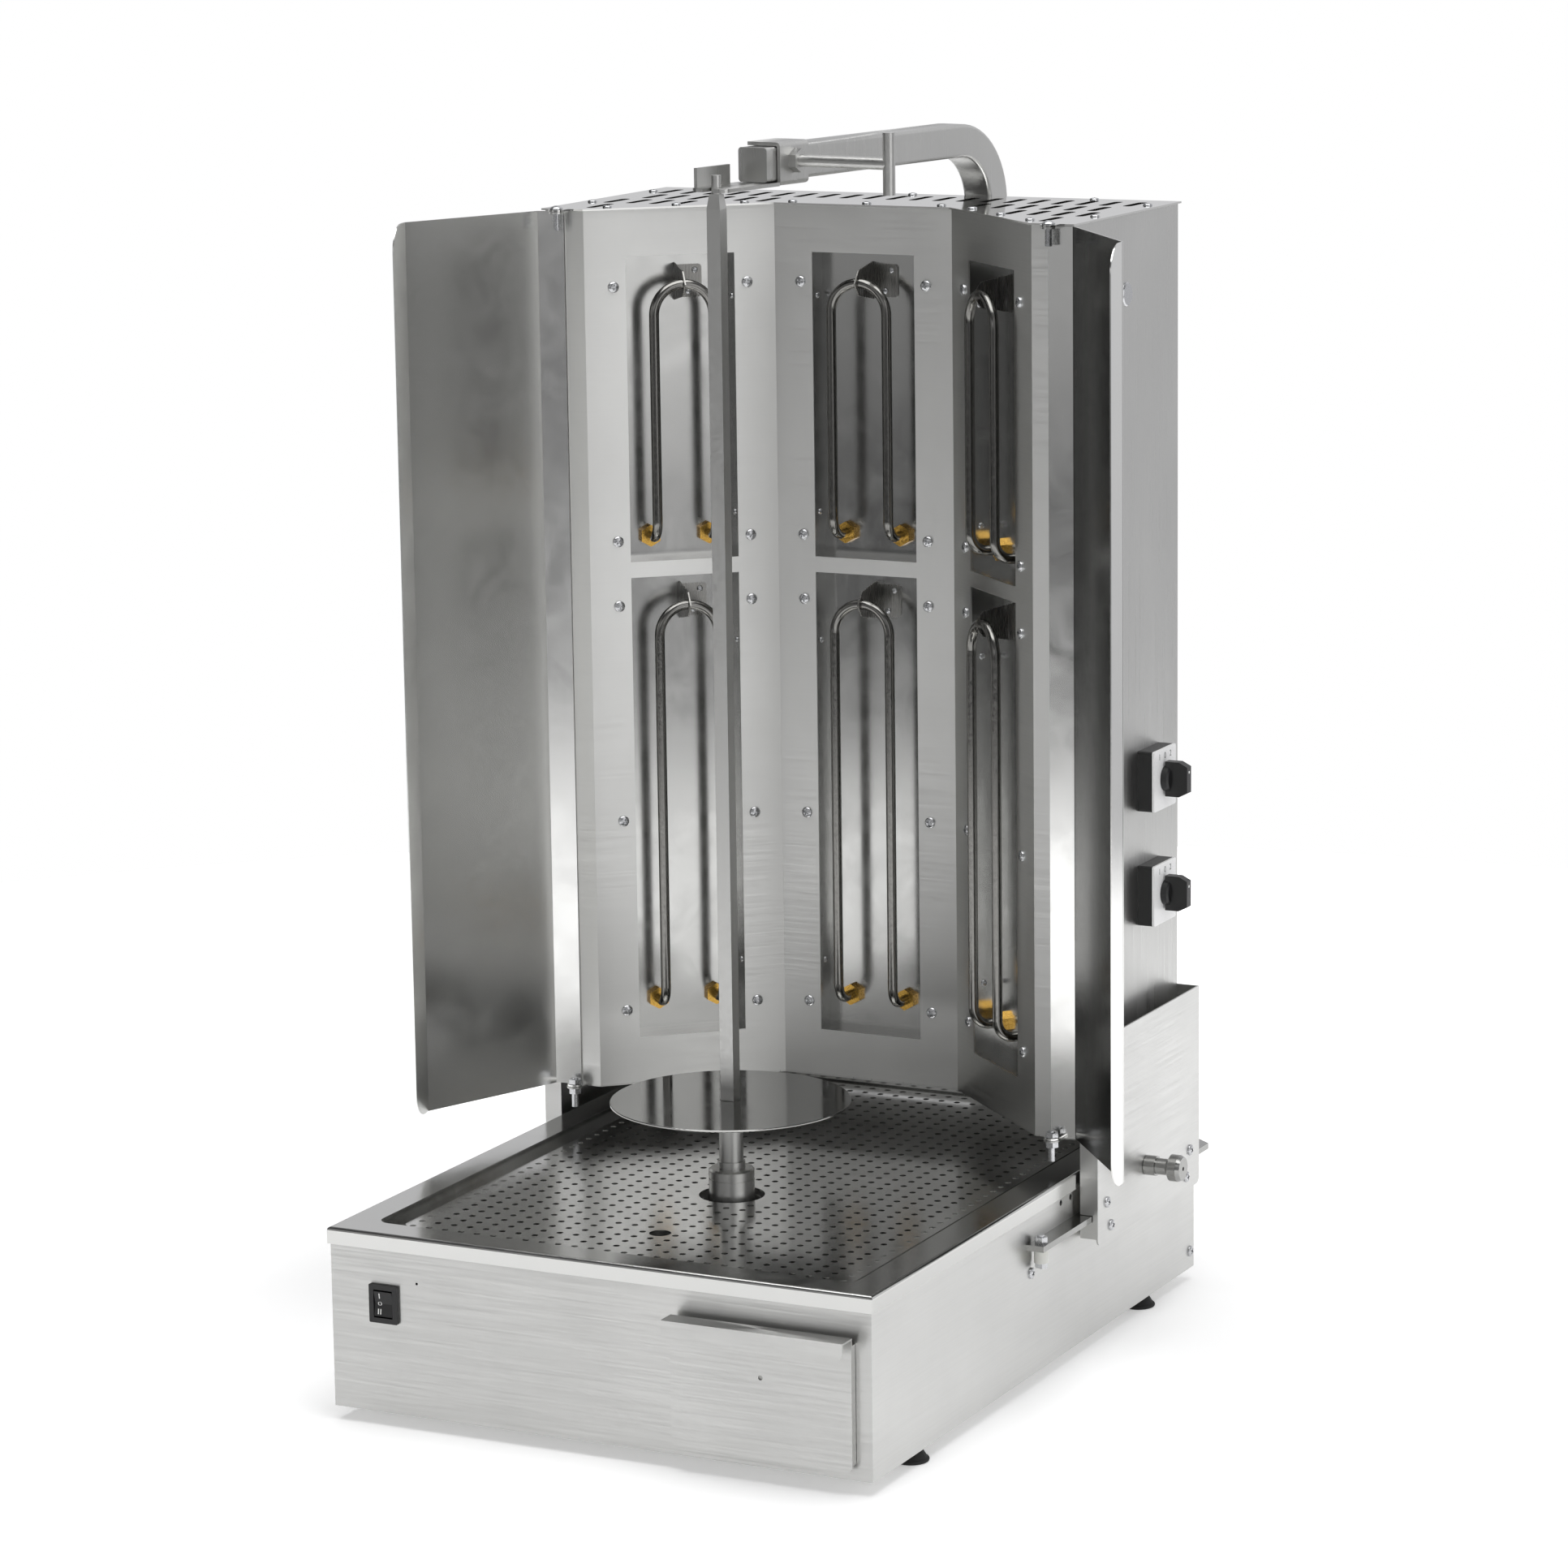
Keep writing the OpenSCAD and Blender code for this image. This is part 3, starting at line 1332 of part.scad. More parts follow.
function wing_path() =
    let (a = [-strip_in, strip_off],
         b = a + [wing_strip, 0],
         c = b + wing_main * [sin(wing_open), -cos(wing_open)],
         f = wing_open - wing_fold)
    [a, b, c, c + wing_lip * [sin(f), -cos(f)]];

module wing() {
    p = wing_path();
    f = wing_open - wing_fold;
    difference() {
        union() {
            translate([0, 0, wing_z0]) linear_extrude(wing_z1 - wing_z0) polygon(folded(p, wing_t));
            for (z = [wing_z0, wing_z1 - sheet]) translate([0, 0, z]) linear_extrude(sheet) {
                circle(tab_r - slide_gap);
                translate([-strip_in, 0]) square([strip_in + tab_r - slide_gap, strip_off + wing_t / 2]);
            }
        }
        translate([0, 0, wing_z0 - over]) cylinder(h = wing_z1 - wing_z0 + 2 * over, d = bolt_d + 2 * play);
        // free corners of the lip
        translate([p[3][0], p[3][1], 0]) rotate([0, 0, f]) {
            translate([0, 0, wing_z0]) corner_cut();
            translate([0, 0, wing_z1]) mirror([0, 0, 1]) corner_cut();
        }
    }
}

// removes what lies outside the round corner of a lip whose free edge is at y = 0
module corner_cut() {
    rotate([90, 0, 90]) linear_extrude(8 * wing_t, center = true) difference() {
        translate([-over, -over]) square([wing_corner + over, wing_corner + over]);
        translate([wing_corner, wing_corner]) circle(wing_corner);
    }
}

module right_wing() {
    color("silver") translate([hinge_x, hinge_y, 0]) wing();
}

module left_wing() {
    color("silver") mirror([1, 0, 0]) translate([hinge_x, hinge_y, 0]) rotate([0, 0, -left_turn]) wing();
}

// hinge bolts: fixed in the cover's and the floor's tabs, they are the wings' pins
module hinge_bolts() {
    head_d = 11;
    head_h = 3.5;
    top_end = 16;
    flats = 10;
    nut_h = 5;
    low_end = 12;
    z0 = heater_z - sheet;
    color("gainsboro") for (m = [0, 1]) mirror([m, 0, 0]) translate([hinge_x, hinge_y, 0]) {
        translate([0, 0, heater_top + sheet]) pan_screw(bolt_d, head_d, head_h, sheet + top_end);
        translate([0, 0, wing_z0 + sheet + run_gap]) linear_extrude(nut_h - over) hexagon(flats);
        translate([0, 0, z0 - nut_h - low_end])
            cylinder(h = low_end + 2 * nut_h + 2 * sheet + 3 * run_gap, d = bolt_d);
        translate([0, 0, z0 - nut_h]) linear_extrude(nut_h) hexagon(flats);
    }
}

// arm
foot_plate_t = 3;
arm_wall = 2;
post_z = floor_z + sheet + foot_plate_t;

module arm_foot() {
    plate_w = 74;
    plate_l = 2 * (base_rear - sheet - post_y);
    sleeve_h = 70;
    g = slide_gap / 2;
    color("silver") {
        difference() {
            union() {
                translate([post_s * sin(arm_angle) - plate_w / 2, base_rear - sheet - plate_l, floor_z + sheet])
                    cube([plate_w, plate_l, foot_plate_t]);
                on_arm() translate([0, post_s, floor_z + sheet])
                    linear_extrude(sleeve_h) rounded(arm_w + 2 * g + 2 * sheet, arm_w + 2 * g + 2 * sheet,
                                                     arm_round + sheet);
            }
            on_arm() translate([0, post_s, post_z]) linear_extrude(sleeve_h)
                rounded(arm_w + 2 * g, arm_w + 2 * g, arm_round + g);
        }
    }
}

// cross-section of the arm tube
module arm_section() {
    difference() {
        rounded(arm_w, arm_w, arm_round);
        rounded(arm_w - 2 * arm_wall, arm_w - 2 * arm_wall, arm_round - arm_wall / 2);
    }
}

module arm_tube() {
    bend_z = arm_z - arm_bend;
    bend_s = post_s - arm_bend;
    color("silver") on_arm() {
        translate([0, post_s, post_z]) linear_extrude(bend_z - post_z) arm_section();
        translate([0, bend_s, bend_z]) rotate([90, 0, 90])
            rotate_extrude(angle = 90) translate([arm_bend, 0]) arm_section();
        translate([0, bend_s, arm_z]) rotate([90, 0, 0]) linear_extrude(bend_s - arm_end) arm_section();
    }
}

module arm_end_cap() {
    cap_t = 2;
    plug_l = 10;
    g = slide_gap / 5;
    color("silver") on_arm() translate([0, arm_end, arm_z]) rotate([90, 0, 0]) {
        linear_extrude(cap_t) rounded(arm_w, arm_w, arm_round);
        translate([0, 0, -plug_l]) linear_extrude(plug_l)
            rounded(arm_w - 2 * arm_wall - 2 * g, arm_w - 2 * arm_wall - 2 * g, arm_round - arm_wall / 2);
    }
}

// bearing sleeve: a channel on the arm whose floor reaches forward to hold the spit's pin
sleeve_s0 = arm_end + sleeve_back;
fork_front = 12;
upstand_h = 18.5;
upstand_rear = 40;
clamp_d = 10;
clamp_nut_t = 7;
clamp_nut_flats = 17;
clamp_s = sleeve_s0 + sleeve_l / 2;
clamp_z = arm_z + clamp_rise;
sleeve_half = arm_w / 2 + slide_gap;
sleeve_bend = 4;

// removes what lies outside the bend between two walls of the bearing sleeve
module bend_cut() {
    translate([0, sleeve_s0 + sleeve_l + over, 0]) rotate([90, 0, 0]) linear_extrude(sleeve_l + 2 * over)
        difference() {
            translate([-sleeve_bend, -sleeve_bend]) square(sleeve_bend + over);
            translate([-sleeve_bend, -sleeve_bend]) circle(sleeve_bend);
        }
}

module bearing_sleeve() {
    z0 = bearing_plate_z;
    z1 = arm_z + arm_w / 2 + slide_gap + bearing_t;
    s1 = sleeve_s0 + sleeve_l;
    corner = 6;
    color("gainsboro") on_arm() difference() {
        union() {
            // floor with its round front corners
            translate([0, 0, z0]) linear_extrude(bearing_t) {
                rounded_span(-sleeve_half - bearing_t, -fork_front, sleeve_half + bearing_t, s1, corner);
                translate([0, sleeve_s0]) square([sleeve_half + bearing_t, sleeve_l]);
            }
            // web and roof
            span(sleeve_half, sleeve_s0, z0, sleeve_half + bearing_t, s1, z1);
            span(-sleeve_half, sleeve_s0, z1 - bearing_t, sleeve_half + bearing_t, s1, z1);
            // upstand on the left edge
            span(-sleeve_half - bearing_t, -fork_front + corner, z0,
                 -sleeve_half, upstand_rear, z0 + upstand_h);
            // welded nut
            translate([sleeve_half + bearing_t, clamp_s, clamp_z]) rotate([0, 90, 0])
                linear_extrude(clamp_nut_t) hexagon(clamp_nut_flats);
        }
        translate([sleeve_half + bearing_t, 0, z1]) bend_cut();
        translate([sleeve_half + bearing_t, 0, z0]) mirror([0, 0, 1]) bend_cut();
        // mouth that the spit's pin sits in
        translate([0, 0, z0 - over]) {
            cylinder(h = bearing_t + 2 * over, d = pin_d + 2 * slide_gap);
            translate([-pin_d / 2 - slide_gap, -fork_front - over, 0])
                cube([pin_d + 2 * slide_gap, fork_front + over, bearing_t + 2 * over]);
        }
        translate([sleeve_half - over, clamp_s, clamp_z]) rotate([0, 90, 0])
            cylinder(h = clamp_nut_t + bearing_t + 2 * over, d = clamp_d + 2 * play);
    }
}

module clamp_screw() {
    bar_d = 10;
    tip = slide_gap + bearing_t - run_gap;
    color("silver") on_arm() translate([sleeve_half + bearing_t, clamp_s, clamp_z]) {
        translate([-tip, 0, 0]) rotate([0, 90, 0]) cylinder(h = clamp_l + tip, d = clamp_d);
        translate([clamp_l, 0, 0]) cylinder(h = clamp_bar, d = bar_d, center = true);
    }
}

base_housing();
rear_panel();
base_floor();
tray_frame();
perforated_plate();
drip_pan();
rubber_feet();
base_screws();
rocker_bezel();
power_rocker();
motor_bracket();
gearbox();
drive_motor();
terminal_block();
cable_gland();
guide_bars();
guide_spacers();
guide_bolts();
drawer_runners();
drawer_front();
drawer_box();
drive_socket();
spit_bar();
spit_disc();
disc_sleeve();
carriage_frame();
slide_blocks();
carriage_screws();
lock_knob();
lock_nut();
heater_casing();
heater_floor();
top_cover();
cover_screws();
front_panel();
panel_screws();
left_reflectors();
centre_reflectors();
right_reflectors();
left_upper_element();
left_lower_element();
centre_upper_element();
centre_lower_element();
right_upper_element();
right_lower_element();
element_nuts();
element_brackets();
switch_bodies();
switch_plates();
upper_knob();
lower_knob();
wall_plug();
left_wing();
right_wing();
hinge_bolts();
arm_foot();
arm_tube();
arm_end_cap();
bearing_sleeve();
clamp_screw();
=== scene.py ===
import json
from math import cos, radians, sin

import bpy
from mathutils import Matrix, Vector

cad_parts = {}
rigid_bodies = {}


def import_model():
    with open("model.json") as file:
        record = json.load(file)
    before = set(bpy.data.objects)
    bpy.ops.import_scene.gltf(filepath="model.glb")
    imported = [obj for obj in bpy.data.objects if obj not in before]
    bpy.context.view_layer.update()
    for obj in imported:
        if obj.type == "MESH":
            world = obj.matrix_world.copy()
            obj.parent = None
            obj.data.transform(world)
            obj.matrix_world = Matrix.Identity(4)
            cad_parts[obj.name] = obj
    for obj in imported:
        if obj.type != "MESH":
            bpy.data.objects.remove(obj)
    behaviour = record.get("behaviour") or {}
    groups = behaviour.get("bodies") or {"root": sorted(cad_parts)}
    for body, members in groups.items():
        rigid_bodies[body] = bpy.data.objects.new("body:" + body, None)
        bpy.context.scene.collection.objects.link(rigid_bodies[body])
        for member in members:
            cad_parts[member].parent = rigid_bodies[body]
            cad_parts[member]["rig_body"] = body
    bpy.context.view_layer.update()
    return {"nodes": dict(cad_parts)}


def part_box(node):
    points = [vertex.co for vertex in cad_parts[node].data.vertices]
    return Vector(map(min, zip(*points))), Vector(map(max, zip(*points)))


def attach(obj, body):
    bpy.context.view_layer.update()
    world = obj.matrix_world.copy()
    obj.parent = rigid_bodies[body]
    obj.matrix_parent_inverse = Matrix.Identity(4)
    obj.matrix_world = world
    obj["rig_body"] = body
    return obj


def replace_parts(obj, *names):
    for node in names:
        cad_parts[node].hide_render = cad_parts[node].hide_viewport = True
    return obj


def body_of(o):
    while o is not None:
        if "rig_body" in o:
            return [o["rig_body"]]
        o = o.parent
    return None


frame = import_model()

nodes = frame["nodes"]

# Base housing, rear wall and floor: stainless sheet, folded and satin brushed level with the counter.
# The grain is drawn 1.4 mm wide, coarser than the real 0.1 mm, so that it shows in the render.


def linear(hex_colour):
    """sRGB hex value to linear RGBA."""
    channels = [int(hex_colour[i : i + 2], 16) / 255 for i in (1, 3, 5)]
    return tuple(c / 12.92 if c <= 0.04045 else ((c + 0.055) / 1.055) ** 2.4 for c in channels) + (1.0,)


def add(tree, kind, inputs=None, **settings):
    """A node with its settings, its constants and its links."""
    made = tree.nodes.new(kind)
    for name, value in settings.items():
        setattr(made, name, value)
    for name, value in (inputs or {}).items():
        if isinstance(value, bpy.types.NodeSocket):
            tree.links.new(value, made.inputs[name])
        else:
            made.inputs[name].default_value = value
    return made


def finish(name):
    """An empty material: its node tree and the shader that feeds the surface."""
    material = bpy.data.materials.new(name)
    material.use_nodes = True
    tree = material.node_tree
    tree.nodes.clear()
    shader = add(tree, "ShaderNodeBsdfPrincipled")
    add(tree, "ShaderNodeOutputMaterial", {"Surface": shader.outputs["BSDF"]})
    return material, tree, shader


def noise(tree, lengths, detail, roughness=0.5, distortion=0.0):
    """Noise on the object itself, whose features have these lengths in millimetres."""
    place = add(tree, "ShaderNodeTexCoord").outputs["Object"]
    scale = tuple(1000 / length for length in lengths)
    spread = add(tree, "ShaderNodeMapping", {"Vector": place, "Scale": scale})
    return add(tree, "ShaderNodeTexNoise", {
        "Vector": spread.outputs["Vector"], "Scale": 1.0,
        "Detail": detail, "Roughness": roughness, "Distortion": distortion}).outputs["Fac"]


def ranged(tree, value, source, target):
    """A value carried from one range to another and held inside it."""
    return add(tree, "ShaderNodeMapRange", {
        "Value": value, "From Min": source[0], "From Max": source[1],
        "To Min": target[0], "To Max": target[1]}).outputs["Result"]


def textured(tree, shader, gloss, height, strength, depth):
    """Feeds a shader its roughness and a relief of a depth in metres."""
    bump = add(tree, "ShaderNodeBump", {"Height": height, "Strength": strength, "Distance": depth})
    tree.links.new(gloss, shader.inputs["Roughness"])
    tree.links.new(bump.outputs["Normal"], shader.inputs["Normal"])


def brushed_stainless(name, grain, tone, rough):
    """Satin stainless sheet: fine parallel scratches that spread the gloss across them, and faint
    handling marks."""
    material, tree, shader = finish(name)
    scratches = noise(tree, grain, 3.0, 0.6)
    clouds = noise(tree, (90, 90, 140), 4.0)
    handled = tuple(c * 0.93 for c in linear(tone)[:3]) + (1,)
    tint = ranged(tree, clouds, (0.3, 0.7), (0, 1))
    colour = add(tree, "ShaderNodeMix", {"Factor": tint, "A": handled, "B": linear(tone)}, data_type="RGBA")
    tree.links.new(colour.outputs["Result"], shader.inputs["Base Color"])
    gloss = ranged(tree, scratches, (0.3, 0.7), (rough - 0.06, rough + 0.08))
    textured(tree, shader, gloss, scratches, 0.12, 0.0003)
    around = add(tree, "ShaderNodeTangent", direction_type="RADIAL", axis="Z")
    tree.links.new(around.outputs["Tangent"], shader.inputs["Tangent"])
    shader.inputs["Anisotropic"].default_value = 0.75
    shader.inputs["Anisotropic Rotation"].default_value = 0.25
    shader.inputs["Metallic"].default_value = 1.0
    return material


def dress(material, *names):
    """Gives CAD nodes one material."""
    for name in names:
        mesh = nodes[name].data
        mesh.materials.clear()
        mesh.materials.append(material)


level_brushed = brushed_stainless("brushed stainless, level grain", (90, 90, 1.4), "#D4D4D2", 0.34)
dress(level_brushed, "base_housing", "rear_panel", "base_floor")

# Screws of the base: zinc-plated pan-head screws with a cross recess, two in each side wall.
# One model is copied to every place where the frame has such a screw. The recess is a real hole.
big_head_r, big_head_h, big_shank_r, shank_l = 0.00475, 0.0026, 0.002, 0.008


def turned_steel(name, tone, rough):
    """Steel off the lathe or the rack: fine pits that catch the light."""
    material, tree, shader = finish(name)
    pits = noise(tree, (2.5, 2.5, 2.5), 4.0, 0.65)
    gloss = ranged(tree, pits, (0.3, 0.75), (rough - 0.05, rough + 0.12))
    textured(tree, shader, gloss, pits, 0.15, 0.0002)
    shader.inputs["Base Color"].default_value = linear(tone)
    shader.inputs["Metallic"].default_value = 1.0
    return material


def only(*objects):
    """Selects these objects and makes the first one active."""
    bpy.ops.object.select_all(action="DESELECT")
    for obj in objects:
        obj.select_set(True)
    bpy.context.view_layer.objects.active = objects[0]


def cut(obj, cutter):
    """Cuts one solid out of another and removes the cutter."""
    only(obj)
    taken = obj.modifiers.new("cut", "BOOLEAN")
    taken.operation = "DIFFERENCE"
    taken.solver = "EXACT"
    taken.object = cutter
    bpy.ops.object.modifier_apply(modifier=taken.name)
    bpy.data.objects.remove(cutter)


def cross_screw(name, head_r, head_h, shank_r, shank_l):
    """A pan-head screw seated at the origin, its head up, drawn up ring by ring from its tip."""
    tip = (0, 0, -shank_l)
    bpy.ops.mesh.primitive_circle_add(vertices=24, radius=shank_r, fill_type="NGON", location=tip)
    screw = bpy.context.object
    screw.name = name
    bpy.ops.object.mode_set(mode="EDIT")
    bpy.ops.mesh.select_all(action="SELECT")
    bpy.ops.mesh.extrude_region_move(TRANSFORM_OT_translate={"value": (0, 0, shank_l)})
    bpy.ops.mesh.extrude_region_move()
    bpy.ops.transform.resize(value=(head_r / shank_r, head_r / shank_r, 1))
    # shares of the head's height and of the ring below
    dome_shares = ((0.35, 1.0), (0.25, 0.94), (0.2, 0.78), (0.13, 0.52), (0.07, 0.22))
    for rise, reach in dome_shares:
        bpy.ops.mesh.extrude_region_move(TRANSFORM_OT_translate={"value": (0, 0, rise * head_h)})
        bpy.ops.transform.resize(value=(reach, reach, 1))
    bpy.ops.mesh.select_all(action="SELECT")
    bpy.ops.mesh.remove_doubles(threshold=1e-6)
    bpy.ops.mesh.normals_make_consistent(inside=False)
    bpy.ops.object.mode_set(mode="OBJECT")
    bpy.ops.object.transform_apply(location=True)
    slot_w, slot_l, slot_d = 0.24 * head_r, 1.05 * head_r, 0.75 * head_h
    for turn in (0, 90):
        bpy.ops.mesh.primitive_cube_add(size=1, location=(0, 0, head_h))
        cutter = bpy.context.object
        cutter.scale = (slot_l, slot_w, 2 * slot_d)
        cutter.rotation_euler = (0, 0, radians(turn))
        bpy.ops.object.transform_apply(location=True, rotation=True, scale=True)
        cut(screw, cutter)
    only(screw)
    bpy.ops.object.shade_smooth_by_angle(angle=radians(40))
    return screw


def islands(name):
    """The separate solids of a CAD node, each as its list of points."""
    twin = bpy.data.objects.new(name + "_twin", nodes[name].data.copy())
    bpy.context.scene.collection.objects.link(twin)
    only(twin)
    bpy.ops.object.mode_set(mode="EDIT")
    bpy.ops.mesh.select_all(action="SELECT")
    bpy.ops.mesh.remove_doubles(threshold=1e-5)
    bpy.ops.mesh.separate(type="LOOSE")
    bpy.ops.object.mode_set(mode="OBJECT")
    parts = list(bpy.context.selected_objects)
    found = [[v.co.copy() for v in part.data.vertices] for part in parts]
    for part in parts:
        bpy.data.objects.remove(part)
    return found


def middle(points):
    """Centre of the box round some points."""
    low = Vector([min(p[i] for p in points) for i in range(3)])
    high = Vector([max(p[i] for p in points) for i in range(3)])
    return (low + high) / 2


def joined(parts, name, material, node):
    """Joins parts into one piece that rides a node's body."""
    only(*parts)
    if len(parts) > 1:
        bpy.ops.object.join()
    piece = bpy.context.object
    piece.name = name
    piece.data.materials.clear()
    piece.data.materials.append(material)
    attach(piece, body_of(nodes[node])[0])
    return piece


def seated(model, name, seats, node):
    """Copies of a screw, each seated at a point along an outward axis, joined into one piece."""
    copies = []
    for seat, axis in seats:
        copy = bpy.data.objects.new(name, model.data.copy())
        bpy.context.scene.collection.objects.link(copy)
        twist = Matrix.Rotation(radians(25 + 37 * len(copies)), 4, "Z")
        upright = axis.to_track_quat("Z", "Y").to_matrix().to_4x4()
        copy.data.transform(Matrix.Translation(seat) @ upright @ twist)
        copies.append(copy)
    return joined(copies, name, screw_steel, node)


def set_screws(model, name, facing, head_h):
    """Copies of a screw in place of a CAD node's screws. facing gives the outward axis at a place."""
    seats = []
    for points in islands(name):
        heart = middle(points)
        axis = Vector(facing(heart)).normalized()
        top = max(p.dot(axis) for p in points)
        seats.append((heart + axis * (top - head_h - heart.dot(axis)), axis))
    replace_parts(seated(model, name + "_crossed", seats, name), name)


def outward(place):
    """Axis away from the grill's middle, to the right or the left."""
    return (1 if place.x > 0 else -1, 0, 0)


screw_steel = turned_steel("zinc-plated screws", "#C8C9CB", 0.24)
big_screw = cross_screw("big_screw", big_head_r, big_head_h, big_shank_r, shank_l)
set_screws(big_screw, "base_screws", outward, big_head_h)

# Drive under the plate: a gear motor in grey paint on its bracket of plain sheet, with a cream
# terminal block and a black cable gland in the rear wall.


def moulded(name, tone, rough, grit):
    """Moulded plastic, rubber or paint: an even colour with a fine texture, its grit in millimetres."""
    material, tree, shader = finish(name)
    grains = noise(tree, (grit, grit, grit), 2.0)
    gloss = ranged(tree, grains, (0.3, 0.7), (rough - 0.06, rough + 0.06))
    textured(tree, shader, gloss, grains, 0.2, 0.0001)
    shader.inputs["Base Color"].default_value = linear(tone)
    return material


inner_sheet = brushed_stainless("plain inner sheet", (60, 60, 2), "#B9B9B7", 0.42)
dress(inner_sheet, "motor_bracket")
gear_paint = moulded("painted gear housing", "#6F7376", 0.55, 1.5)
dress(gear_paint, "gearbox", "drive_motor")
cream = moulded("cream terminal plastic", "#CFC6AE", 0.5, 1.0)
dress(cream, "terminal_block")
black_plastic = moulded("black moulded plastic", "#161617", 0.38, 0.8)
dress(black_plastic, "cable_gland")

# Drip pan, runners and drawer: plain inner sheet, folded and left unbrushed, with the drawer's front
# brushed like the base it lies on.
dress(inner_sheet, "drip_pan", "drawer_runners", "drawer_box")
dress(level_brushed, "drawer_front")

# Lip and tray: one polished sheet on the base's walls, its corners mitred, welded and polished again.


def polished_stainless(name, tone, rough):
    """Polished stainless: a clear reflection, blurred a little by fine swirls and wiped fat."""
    material, tree, shader = finish(name)
    smears = noise(tree, (45, 45, 45), 5.0, 0.6, 0.8)
    waves = noise(tree, (160, 160, 160), 2.0)
    gloss = ranged(tree, smears, (0.35, 0.7), (rough, rough + 0.07))
    textured(tree, shader, gloss, waves, 0.08, 0.002)
    shader.inputs["Base Color"].default_value = linear(tone)
    shader.inputs["Metallic"].default_value = 1.0
    return material


lip_sheet = polished_stainless("polished lip sheet", "#CECECC", 0.14)
dress(lip_sheet, "tray_frame")

# Perforated plate: punched stainless sheet with a polish, which lies loose on the tray's shelf.
plate_sheet = polished_stainless("polished drain plate", "#DADAD8", 0.14)
dress(plate_sheet, "perforated_plate")

# Feet: black rubber, moulded in one piece with their necks and screwed under the floor.
rubber = moulded("black rubber", "#1A1A1A", 0.7, 0.6)
dress(rubber, "rubber_feet")

# Power rocker: black plastic in a black bezel, pressed into the front wall. A bar, a ring and a double
# bar are pad-printed on it in white, left of its middle.
print_t = 0.0001
mark_w, mark_h, mark_rise, mark_gap = 0.0009, 0.0045, 0.0065, 0.0011
ring_r, ring_wire_r, ring_flatness = 0.0015, 0.0004, 0.6
rocker_rise, rocker_dish = 0.0103, 0.0015
marks_left = 0.0035


def ink(name, tone):
    """Matt pad-printing ink with a faintly uneven coat."""
    material, tree, shader = finish(name)
    coat = noise(tree, (1.2, 1.2, 1.2), 2.0)
    tree.links.new(ranged(tree, coat, (0, 1), (0.45, 0.6)), shader.inputs["Roughness"])
    shader.inputs["Base Color"].default_value = linear(tone)
    return material


def printed_bar(centre):
    """An upright printed bar in the XY plane."""
    bpy.ops.mesh.primitive_cube_add(size=1, location=centre)
    made = bpy.context.object
    made.scale = (mark_w, mark_h, print_t)
    bpy.ops.object.transform_apply(location=True, rotation=True, scale=True)
    return made


dress(black_plastic, "rocker_bezel", "power_rocker")
white_ink = ink("white ink", "#ECECEA")
rocker_low, rocker_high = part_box("power_rocker")
rocker_mid = (Vector(rocker_low) + Vector(rocker_high)) / 2
rocker_slope = rocker_dish / rocker_rise
marks = []
for half, offsets in ((1, (0,)), (-1, (-mark_gap, mark_gap))):
    tilt = Matrix.Rotation(radians(90) + rocker_slope * half, 4, "X")
    depth = rocker_low[1] + rocker_dish * (1 - mark_rise / rocker_rise)
    place = Matrix.Translation((rocker_mid.x, depth, rocker_mid.z + half * mark_rise))
    for offset in offsets:
        mark = printed_bar((offset - marks_left, 0, 0))
        mark.data.transform(place @ tilt)
        marks.append(mark)
bpy.ops.mesh.primitive_torus_add(
    major_segments=32, minor_segments=6, major_radius=ring_r, minor_radius=ring_wire_r)
ring = bpy.context.object
ring.data.transform(
    Matrix.Translation((rocker_mid.x - marks_left, rocker_low[1] + rocker_dish, rocker_mid.z))
    @ Matrix.Rotation(radians(90), 4, "X") @ Matrix.Diagonal((1, 1, ring_flatness, 1)))
marks.append(ring)
joined(marks, "rocker_marks", white_ink, "power_rocker")

# Drive socket and spit: bright steel bar, turned for the socket, the sleeve and the pin. The meat disc
# is mirror-polished sheet with a darker tone than the other polished sheets, and rests on its sleeve.
bar_steel = turned_steel("bright steel bar", "#C9C9C7", 0.34)
dress(bar_steel, "drive_socket", "spit_bar", "disc_sleeve")
disc_sheet = polished_stainless("mirror disc", "#949492", 0.06)
dress(disc_sheet, "spit_disc")

# Guides: ground and oiled flat bars beside the base, each held off its wall by a white nylon spacer
# and a zinc-plated bolt.
ground_steel = turned_steel("ground and oiled steel", "#A2A2A0", 0.17)
dress(ground_steel, "guide_bars")
dress(screw_steel, "guide_bolts")
nylon = moulded("white nylon", "#DCDCD6", 0.45, 1.0)
dress(nylon, "guide_spacers")

# Carriage: brushed sheet folded round the tower's foot, on white nylon blocks that pan-head screws
# hold. A turned lock knob with a nut behind the plate clamps it on the right.
dress(level_brushed, "carriage_frame")
dress(nylon, "slide_blocks")
dress(ground_steel, "lock_knob")
dress(screw_steel, "lock_nut")
set_screws(big_screw, "carriage_screws", outward, big_head_h)

# Heater casing and floor: the same sheet as the base with its grain upright, and a zinc-plated plug
# in the right wall.
upright_brushed = brushed_stainless("brushed stainless, upright grain", (1.4, 1.4, 120), "#CBCBC9", 0.32)
dress(upright_brushed, "heater_casing", "heater_floor")
dress(screw_steel, "wall_plug")

# Front panel: one brushed sheet folded into a centre face and two side faces turned forward, with
# pan-head screws round its six windows.
panel_fold = radians(42.7)
side_x = 0.083


def panel_axes(x):
    """The panel's axes at x: along it to the right, and out of it to the front."""
    turn = 0 if abs(x) < side_x else (panel_fold if x < 0 else -panel_fold)
    return Vector((cos(turn), sin(turn), 0)), Vector((sin(turn), -cos(turn), 0))


dress(level_brushed, "front_panel")
set_screws(big_screw, "panel_screws", lambda place: panel_axes(place.x)[1], big_head_h)
bpy.data.objects.remove(big_screw)

